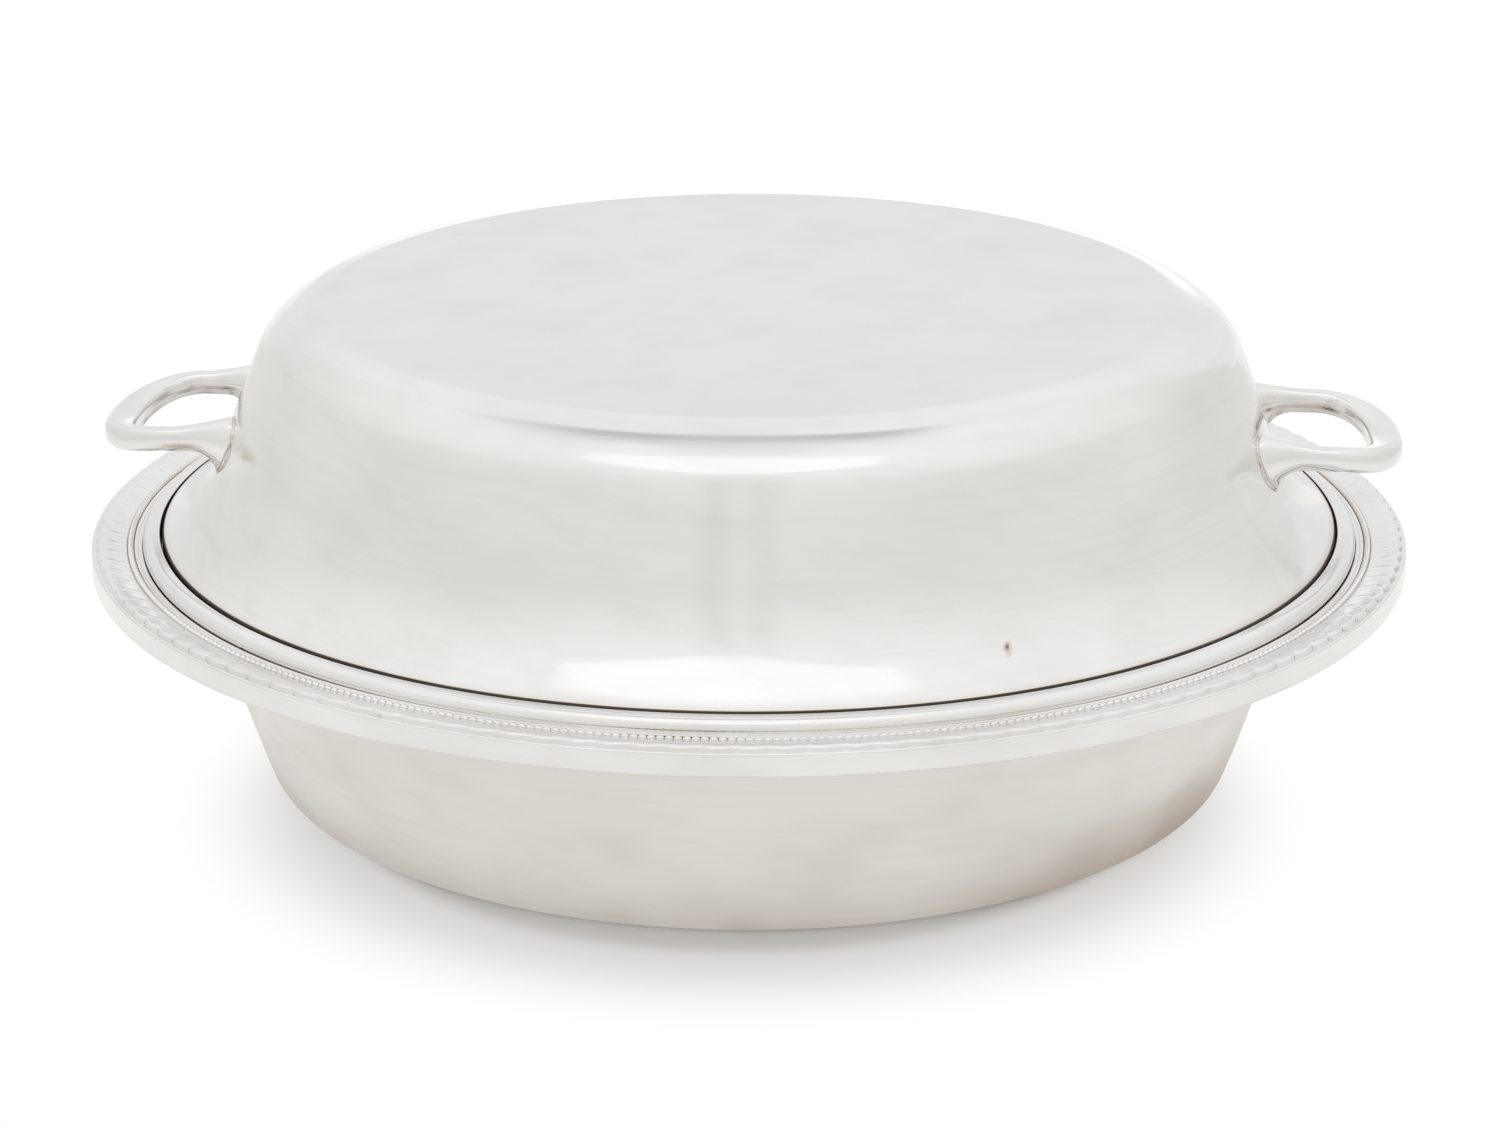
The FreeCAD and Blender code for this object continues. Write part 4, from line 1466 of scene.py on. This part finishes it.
    def dirt_and_shade(self, away: Grid, count: int) -> Grid:
        """Tarnish of the seats on the wall, the parting line and stains, and painted shade with patina on
        the inner side and the underside.

        Args:
            away: How far each row of a foot is from the wall, from 0 to 1.
            count: Number of rows from foot to foot.

        Returns:
            Tarnish and painted shade, in rows like those of the handle.
        """
        turn = full_turn(self.section_steps)[None, :]
        inner = smooth_step(np.cos(turn), -0.35, -0.95)
        under = smooth_step(np.sin(turn), -0.25, -0.95)
        place = np.linspace(0.0, 1.0, count)[:, None]
        spots = 0.5 + 0.5 * np.sin(place * 47.0 + self.side) * np.sin(place * 29.0 + 2.0)
        ends = np.concatenate([away, np.ones((count - 2 * len(away), 1)), away[::-1]])
        seat = smooth_step(ends, 0.10, 0.0)
        parting = hump(np.degrees(turn), 192.0, 6.0) * (0.15 + 0.75 * spots**2)
        # Painted shade with patina on the inner side and the underside.
        dirt_and_shade = inner * (0.07 + 0.10 * spots) + under * (0.05 + 0.12 * spots) + seat * 0.45 + parting * 0.7
        crust = 0.62 + 0.38 * np.sin(place * 290.0) * np.sin(turn * 19.0 + place * 90.0)
        for stain in self.stains:
            dirt_and_shade = dirt_and_shade + 0.75 * crust * stain.share(place, turn)
        return np.clip(dirt_and_shade, 0.0, 1.0)

    def build(self, finish: SilverFinish, solder: SilverFinish) -> None:
        """Make the casting as one skin from foot to foot, and its two seams.

        Args:
            finish: Finish of the piece.
            solder: Finish of the seams.
        """
        turned_to_side = np.array((self.side, self.side, 1.0))
        far, away = self.foot_rows(1)
        near, _ = self.foot_rows(-1)
        start = self.wall(self.spread / 2.0, self.height) + self.flare_length + self.leg_length
        middle = (self.leg_rows(1, start), self.bow_rows(start), self.leg_rows(-1, start)[::-1])
        rows = np.concatenate([far, *middle, near[::-1]]) * turned_to_side
        mesh = PieceMesh(self.name)
        numbers = mesh.add_points(rows, self.dirt_and_shade(away, len(rows)))
        mesh.join_grid(numbers, False, True)
        for row, flip in ((0, True), (-1, False)):
            mesh.close_ring(numbers[row], rows[row].mean(axis=0), 0.9, flip)
        mesh.build(Body.COVER, Slot.CAST, finish, (self.node,), CAST_CREASE)
        for name, loop in zip(("back", "front")[::self.side], (far[1], near[1])):
            self.build_seam(f"{self.name}_{name}_seam", loop * turned_to_side, solder)

    def build_seam(self, name: str, loop: Grid, finish: SilverFinish) -> None:
        """Uneven bead of solder round a foot: a tube of changing radius along the edge of the foot.

        Args:
            name: Name of the seam.
            loop: Edge of the foot on the wall.
            finish: Finish of the solder.
        """
        steps = self.seam_steps
        following = np.roll(loop, -1, axis=0)
        fine = np.concatenate([loop + (following - loop) * k / steps for k in range(steps)], axis=1)
        fine = fine.reshape(-1, 3)
        along = unit(np.roll(fine, -1, axis=0) - np.roll(fine, 1, axis=0))
        outward = unit(fine * np.array((1.0, 1.0, 0.0)))
        side = unit(np.cross(along, outward))
        place = full_turn(len(fine))
        lumps = 1.0 + 0.22 * np.sin(7.0 * place + self.side) + 0.16 * np.sin(13.0 * place)
        lumps = lumps + 0.1 * np.sin(29.0 * place)
        turn = full_turn(self.seam_sides)
        size = (self.seam_radius * lumps)[:, None, None]
        cosine, sine = np.cos(turn)[None, :, None], np.sin(turn)[None, :, None]
        ring = cosine * outward[:, None, :] * 0.75 + sine * side[:, None, :]
        places = fine[:, None, :] + size * ring
        dirt_and_shade = 0.26 + 0.16 * np.sin(5.0 * place + 1.0) + 0.14 * np.sin(17.0 * place + 2.0)
        dirt_and_shade = np.clip(dirt_and_shade, 0.0, 1.0)[:, None] * np.ones((1, len(turn)))
        closed_grid(name, places, dirt_and_shade).build(Body.COVER, Slot.CAST, finish, (), FINE_CREASE)


class Sky:
    """Direction of a ray as values, and masks of what stands and hangs round the dish.

    East, north and high are the parts of the direction, right and back its slopes from straight up,
    in which flat things overhead keep their outlines, and spread its slope aside from straight back.
    The places below are such slopes: an edge of the paper has its place at the foot and its lean.
    """

    PAPER_RIGHT = (0.57, 0.26)
    PAPER_LEFT = (0.55, 0.5)
    LEFT_POST = 0.075
    RIGHT_POST = 0.115
    GAP_LEFT = 0.05
    GAP_BACK = 0.27
    GAP_BOW = 0.9
    LAMP_LEFT = 0.03
    LAMP_SPREAD = 0.30
    LAMP_CLOSE = 0.92

    def __init__(self, sheet: NodeSheet) -> None:
        """Split the direction.

        Args:
            sheet: Sheet that the nodes go on.
        """
        self.east, self.north, self.high = sheet.split(sheet.node("ShaderNodeTexCoord", {}, {}, "Generated"))
        up = self.high.larger(0.02)
        self.right, self.back = self.east / up, self.north / up
        self.spread = self.east / self.north.larger(0.02)
        self.above = self.high.step(0.10, 0.30)
        self.behind = self.north.step(0.0, 0.1)

    def paper(self) -> Wire:
        """Paper behind the dish, between a crisp right edge and a soft left one that lean outward.

        Returns:
            Mask from 0 to 1.
        """
        foot, lean = self.PAPER_RIGHT
        right_edge = (self.spread - foot - self.high * lean).step(0.015, -0.015)
        foot, lean = self.PAPER_LEFT
        left_edge = (self.spread * -1.0 - foot - self.high * lean).step(0.10, -0.14)
        return self.behind * right_edge * left_edge

    def paper_foot(self) -> Wire:
        """Bright middle of the foot of the paper."""
        return self.spread.absolute().step(0.26, 0.10) * self.high.step(0.20, 0.04) * self.behind

    def stand(self) -> Wire:
        """Two soft uprights in front, the right one fainter, that end below the top.

        Returns:
            Mask from 0 to 1.
        """
        front = self.north.step(0.0, -0.12)
        turn = self.east / (self.north * -1.0).larger(0.02)
        left_post = (turn + self.LEFT_POST).absolute().step(0.10, 0.0)
        right_post = (turn - self.RIGHT_POST).absolute().step(0.09, 0.01) * 0.65
        return left_post.larger(right_post) * self.high.step(0.86, 0.66) * front

    def gap(self) -> Wire:
        """Dim gap between the lamp and the paper, whose ends bow to the back.

        Returns:
            Mask from 0 to 1.
        """
        aside = self.right + self.GAP_LEFT
        bowed = self.back - aside * aside * self.GAP_BOW
        band = (bowed - self.GAP_BACK).absolute().step(0.115, 0.03)
        return band * aside.absolute().step(0.60, 0.22) * self.right.step(0.40, 0.20) * self.above

    def lamp(self) -> Wire:
        """Lamp overhead, which spreads from its back edge to the front and then closes in again.

        Returns:
            Mask from 0 to 1.
        """
        wide = (self.right + self.LAMP_LEFT).absolute()
        sides = (wide + self.back * self.LAMP_SPREAD).step(0.352, 0.328)
        corners = (wide - self.back * self.LAMP_CLOSE).step(0.765, 0.710)
        back_edge = self.back.step(0.07, -0.10)
        front_edge = self.back.step(-0.77, -0.57)
        return sides * corners * back_edge * front_edge * self.above


@dataclass(frozen=True)
class Studio:
    """Floor, surroundings that light the dish from all sides, and the camera.

    The camera comes from the ellipses of the rim, the cover and the base in the photograph. The floor
    and the pairs of distances on it are in metres: a shadow fades or the floor dims from one to the other.
    """

    distance: float = 950.0
    camera_height: float = 366.5
    turn: float = 3.4
    pitch: float = 18.64
    lens: float = 104.01
    sensor: float = 36.0
    picture_width: float = 1500.0
    centre_shift: float = 1.0
    floor_size: float = 6.0
    shadow_forward: float = 30.0
    near_shadow: tuple[float, float] = (0.083, 0.093)
    soft_shadow: tuple[float, float] = (0.088, 0.130)
    shadow_in_metal: tuple[float, float] = (0.100, 0.135)
    dimmer_floor: tuple[float, float] = (0.25, 0.60)
    paper_in_metal: tuple[float, float, float] = (0.94, 0.935, 0.915)
    walls: tuple[float, float, float] = (0.835, 0.83, 0.80)
    far_walls: tuple[float, float, float] = (0.80, 0.795, 0.775)
    ceiling: tuple[float, float, float] = (0.99, 0.99, 0.985)
    far_paper: tuple[float, float, float] = (0.80, 0.79, 0.77)
    backdrop: tuple[float, float, float] = (0.845, 0.845, 0.845)
    backdrop_high: tuple[float, float, float] = (0.94, 0.94, 0.94)
    glow: tuple[float, float, float] = (1.3, 1.3, 1.3)
    stand: tuple[float, float, float] = (0.72, 0.71, 0.69)
    gap: tuple[float, float, float] = (0.60, 0.60, 0.60)
    lamp: tuple[float, float, float] = (1.14, 1.14, 1.14)

    def make_camera(self) -> None:
        """Camera at the photograph's place, looking at the axis of the dish."""
        angle = math.radians(self.turn)
        data = bpy.data.cameras.new("camera")
        data.lens = self.lens
        data.sensor_width = self.sensor
        data.shift_x = self.centre_shift / self.picture_width
        camera = bpy.data.objects.new("camera", data)
        reach = self.distance * MM
        camera.location = (reach * math.sin(angle), -reach * math.cos(angle), self.camera_height * MM)
        camera.rotation_euler = (math.radians(90.0 - self.pitch), 0.0, angle)
        bpy.context.scene.collection.objects.link(camera)
        bpy.context.scene.camera = camera

    def make_floor(self) -> None:
        """Pale floor that is plain white away from the dish and keeps the soft shadow near it.

        The shadow is kept round a place a little in front of the axis. Metal sees the floor as paper,
        which is dimmer far away, but not behind the dish.
        """
        half = self.floor_size / 2.0
        mesh = bpy.data.meshes.new("floor")
        corners = np.array([(-half, -half, 0.0), (half, -half, 0.0), (half, half, 0.0), (-half, half, 0.0)])
        mesh.from_pydata(corners, [], [(0, 1, 2, 3)])
        floor = bpy.data.objects.new("floor", mesh)
        bpy.context.scene.collection.objects.link(floor)
        material = bpy.data.materials.new("white_floor")
        material.use_nodes = True
        sheet = NodeSheet(material.node_tree)
        place = sheet.node("ShaderNodeTexCoord", {}, {}, "Object")
        shift = {0: place, 1: (0.0, self.shadow_forward * MM, 0.0)}
        moved = sheet.node("ShaderNodeVectorMath", {"operation": "ADD"}, shift, "Vector")
        length = {"operation": "LENGTH"}
        away = sheet.node("ShaderNodeVectorMath", length, {0: place}, "Value")
        off = sheet.node("ShaderNodeVectorMath", length, {0: moved}, "Value")
        east, north, _ = sheet.split(place)
        seen, camera = self.seen_ray(sheet)
        plain = off.step(*self.near_shadow) * 0.36 + off.step(*self.soft_shadow) * 0.64
        plain = plain.larger((1.0 - camera) * (away.step(*self.shadow_in_metal) * 0.5 + 0.5))
        paper = sheet.node("ShaderNodeBsdfDiffuse", {}, {"Color": (0.93, 0.93, 0.93, 1.0)}, "BSDF")
        behind = north.step(0.2, 0.5) * (east / north.larger(0.02)).absolute().step(0.62, 0.48)
        far = away.step(*self.dimmer_floor) * (1.0 - behind)
        tone = sheet.mix_colour(far, self.paper_in_metal, self.far_paper)
        tone = sheet.mix_colour(camera, tone, WHITE)
        white = sheet.node("ShaderNodeEmission", {}, {"Color": tone, "Strength": 1.0}, "Emission")
        made = sheet.node("ShaderNodeMixShader", {}, {0: seen * plain, 1: paper, 2: white}, "Shader")
        sheet.show(made)
        mesh.materials.append(material)

    @staticmethod
    def seen_ray(sheet: NodeSheet) -> tuple[Wire, Wire]:
        """1 for rays of the camera and rays seen in metal or through glass, and 1 for the first alone.

        Args:
            sheet: Sheet that the nodes go on.

        Returns:
            The two values.
        """
        rays = ("Is Camera Ray", "Is Glossy Ray", "Is Transmission Ray")
        camera, glossy, through = (sheet.node("ShaderNodeLightPath", {}, {}, ray) for ray in rays)
        return camera.larger(glossy).larger(through), camera

    def make_light(self) -> None:
        """Surroundings by direction, as the polished cover shows them.

        Pale walls, dimmer far behind, pass into a white ceiling. Over them lie the paper behind the
        dish with its bright foot, the camera's stand, the dim gap and the lamp, each on top of the last.
        """
        world = bpy.data.worlds.new("studio")
        world.use_nodes = True
        sheet = NodeSheet(world.node_tree)
        sky = Sky(sheet)
        far = sky.north.step(0.2, 0.6) * sky.high.step(0.65, 0.35)
        colour = sheet.mix_colour(far, self.walls, self.far_walls)
        colour = sheet.mix_colour(sky.high.step(0.20, 1.0), colour, self.ceiling)
        paper = sheet.mix_colour(sky.high.step(0.24, 0.60), self.backdrop, self.backdrop_high)
        paper = sheet.mix_colour(sky.spread.step(-0.3, 0.5) * 0.05, paper, self.lamp)
        layers = (
            (sky.paper(), paper), (sky.paper_foot(), self.glow), (sky.stand() * 0.40, self.stand),
            (sky.gap(), self.gap), (sky.lamp(), self.lamp),
        )
        for mask, tone in layers:
            colour = sheet.mix_colour(mask, colour, tone)
        light, white = (
            sheet.node("ShaderNodeBackground", {}, {"Color": tone, "Strength": 1.0}, "Background")
            for tone in (colour, (*WHITE, 1.0))
        )
        camera = sheet.node("ShaderNodeLightPath", {}, {}, "Is Camera Ray")
        made = sheet.node("ShaderNodeMixShader", {}, {0: camera, 1: light, 2: white}, "Shader")
        sheet.show(made, "ShaderNodeOutputWorld")
        bpy.context.scene.world = world
        bpy.context.scene.view_settings.view_transform = "Standard"

    def build(self) -> None:
        """Make the whole studio."""
        self.make_camera()
        self.make_floor()
        self.make_light()


def main() -> None:
    """Build the studio and every piece."""
    logging.basicConfig(level=logging.INFO, format="%(name)s: %(message)s")
    Studio().build()
    cover_silver = SilverFinish("cover_silver")
    dish_silver = SilverFinish(
        "dish_silver", clean=(0.80, 0.775, 0.748), hazy=(0.755, 0.725, 0.695), warm=(0.50, 0.41, 0.34),
        roughness=0.27, haze=0.8, film=0.13, scratches=0.005,
    )
    wire_silver = SilverFinish("wire_silver", roughness=0.12, film=0.05)
    struck_silver = SilverFinish("struck_silver", roughness=0.16, film=0.15, speckle=0.3)
    cast_silver = SilverFinish("cast_silver", roughness=0.12, film=0.05, speckle=0.25)
    solder = SilverFinish("solder", roughness=0.35, haze=1.0, film=0.4, speckle=0.7, scratches=0.02)
    dish = Dish()
    dish.build(dish_silver)
    border = Border(dish)
    border.build_roll(wire_silver)
    border.build_tongues(struck_silver)
    border.build_beads(struck_silver)
    border.build_reeds(wire_silver)
    cover = Cover(border)
    cover.build_bowl(cover_silver)
    cover.build_ring(wire_silver)
    right = Handle(
        cover, "right_handle_casting", "right_handle", 1, stains=(Stain(0.235, 0.05, 195.0, 17.0),),
    )
    left = Handle(
        cover, "left_handle_casting", "left_handle", -1, stains=(Stain(0.17, 0.05, 342.0, 16.0),),
        droop=3.15, bow_length=15.1, bow_shape=2.25, back_rise=5.0,
    )
    right.build(cast_silver, solder)
    left.build(cast_silver, solder)


if __name__ == "__main__":
    main()
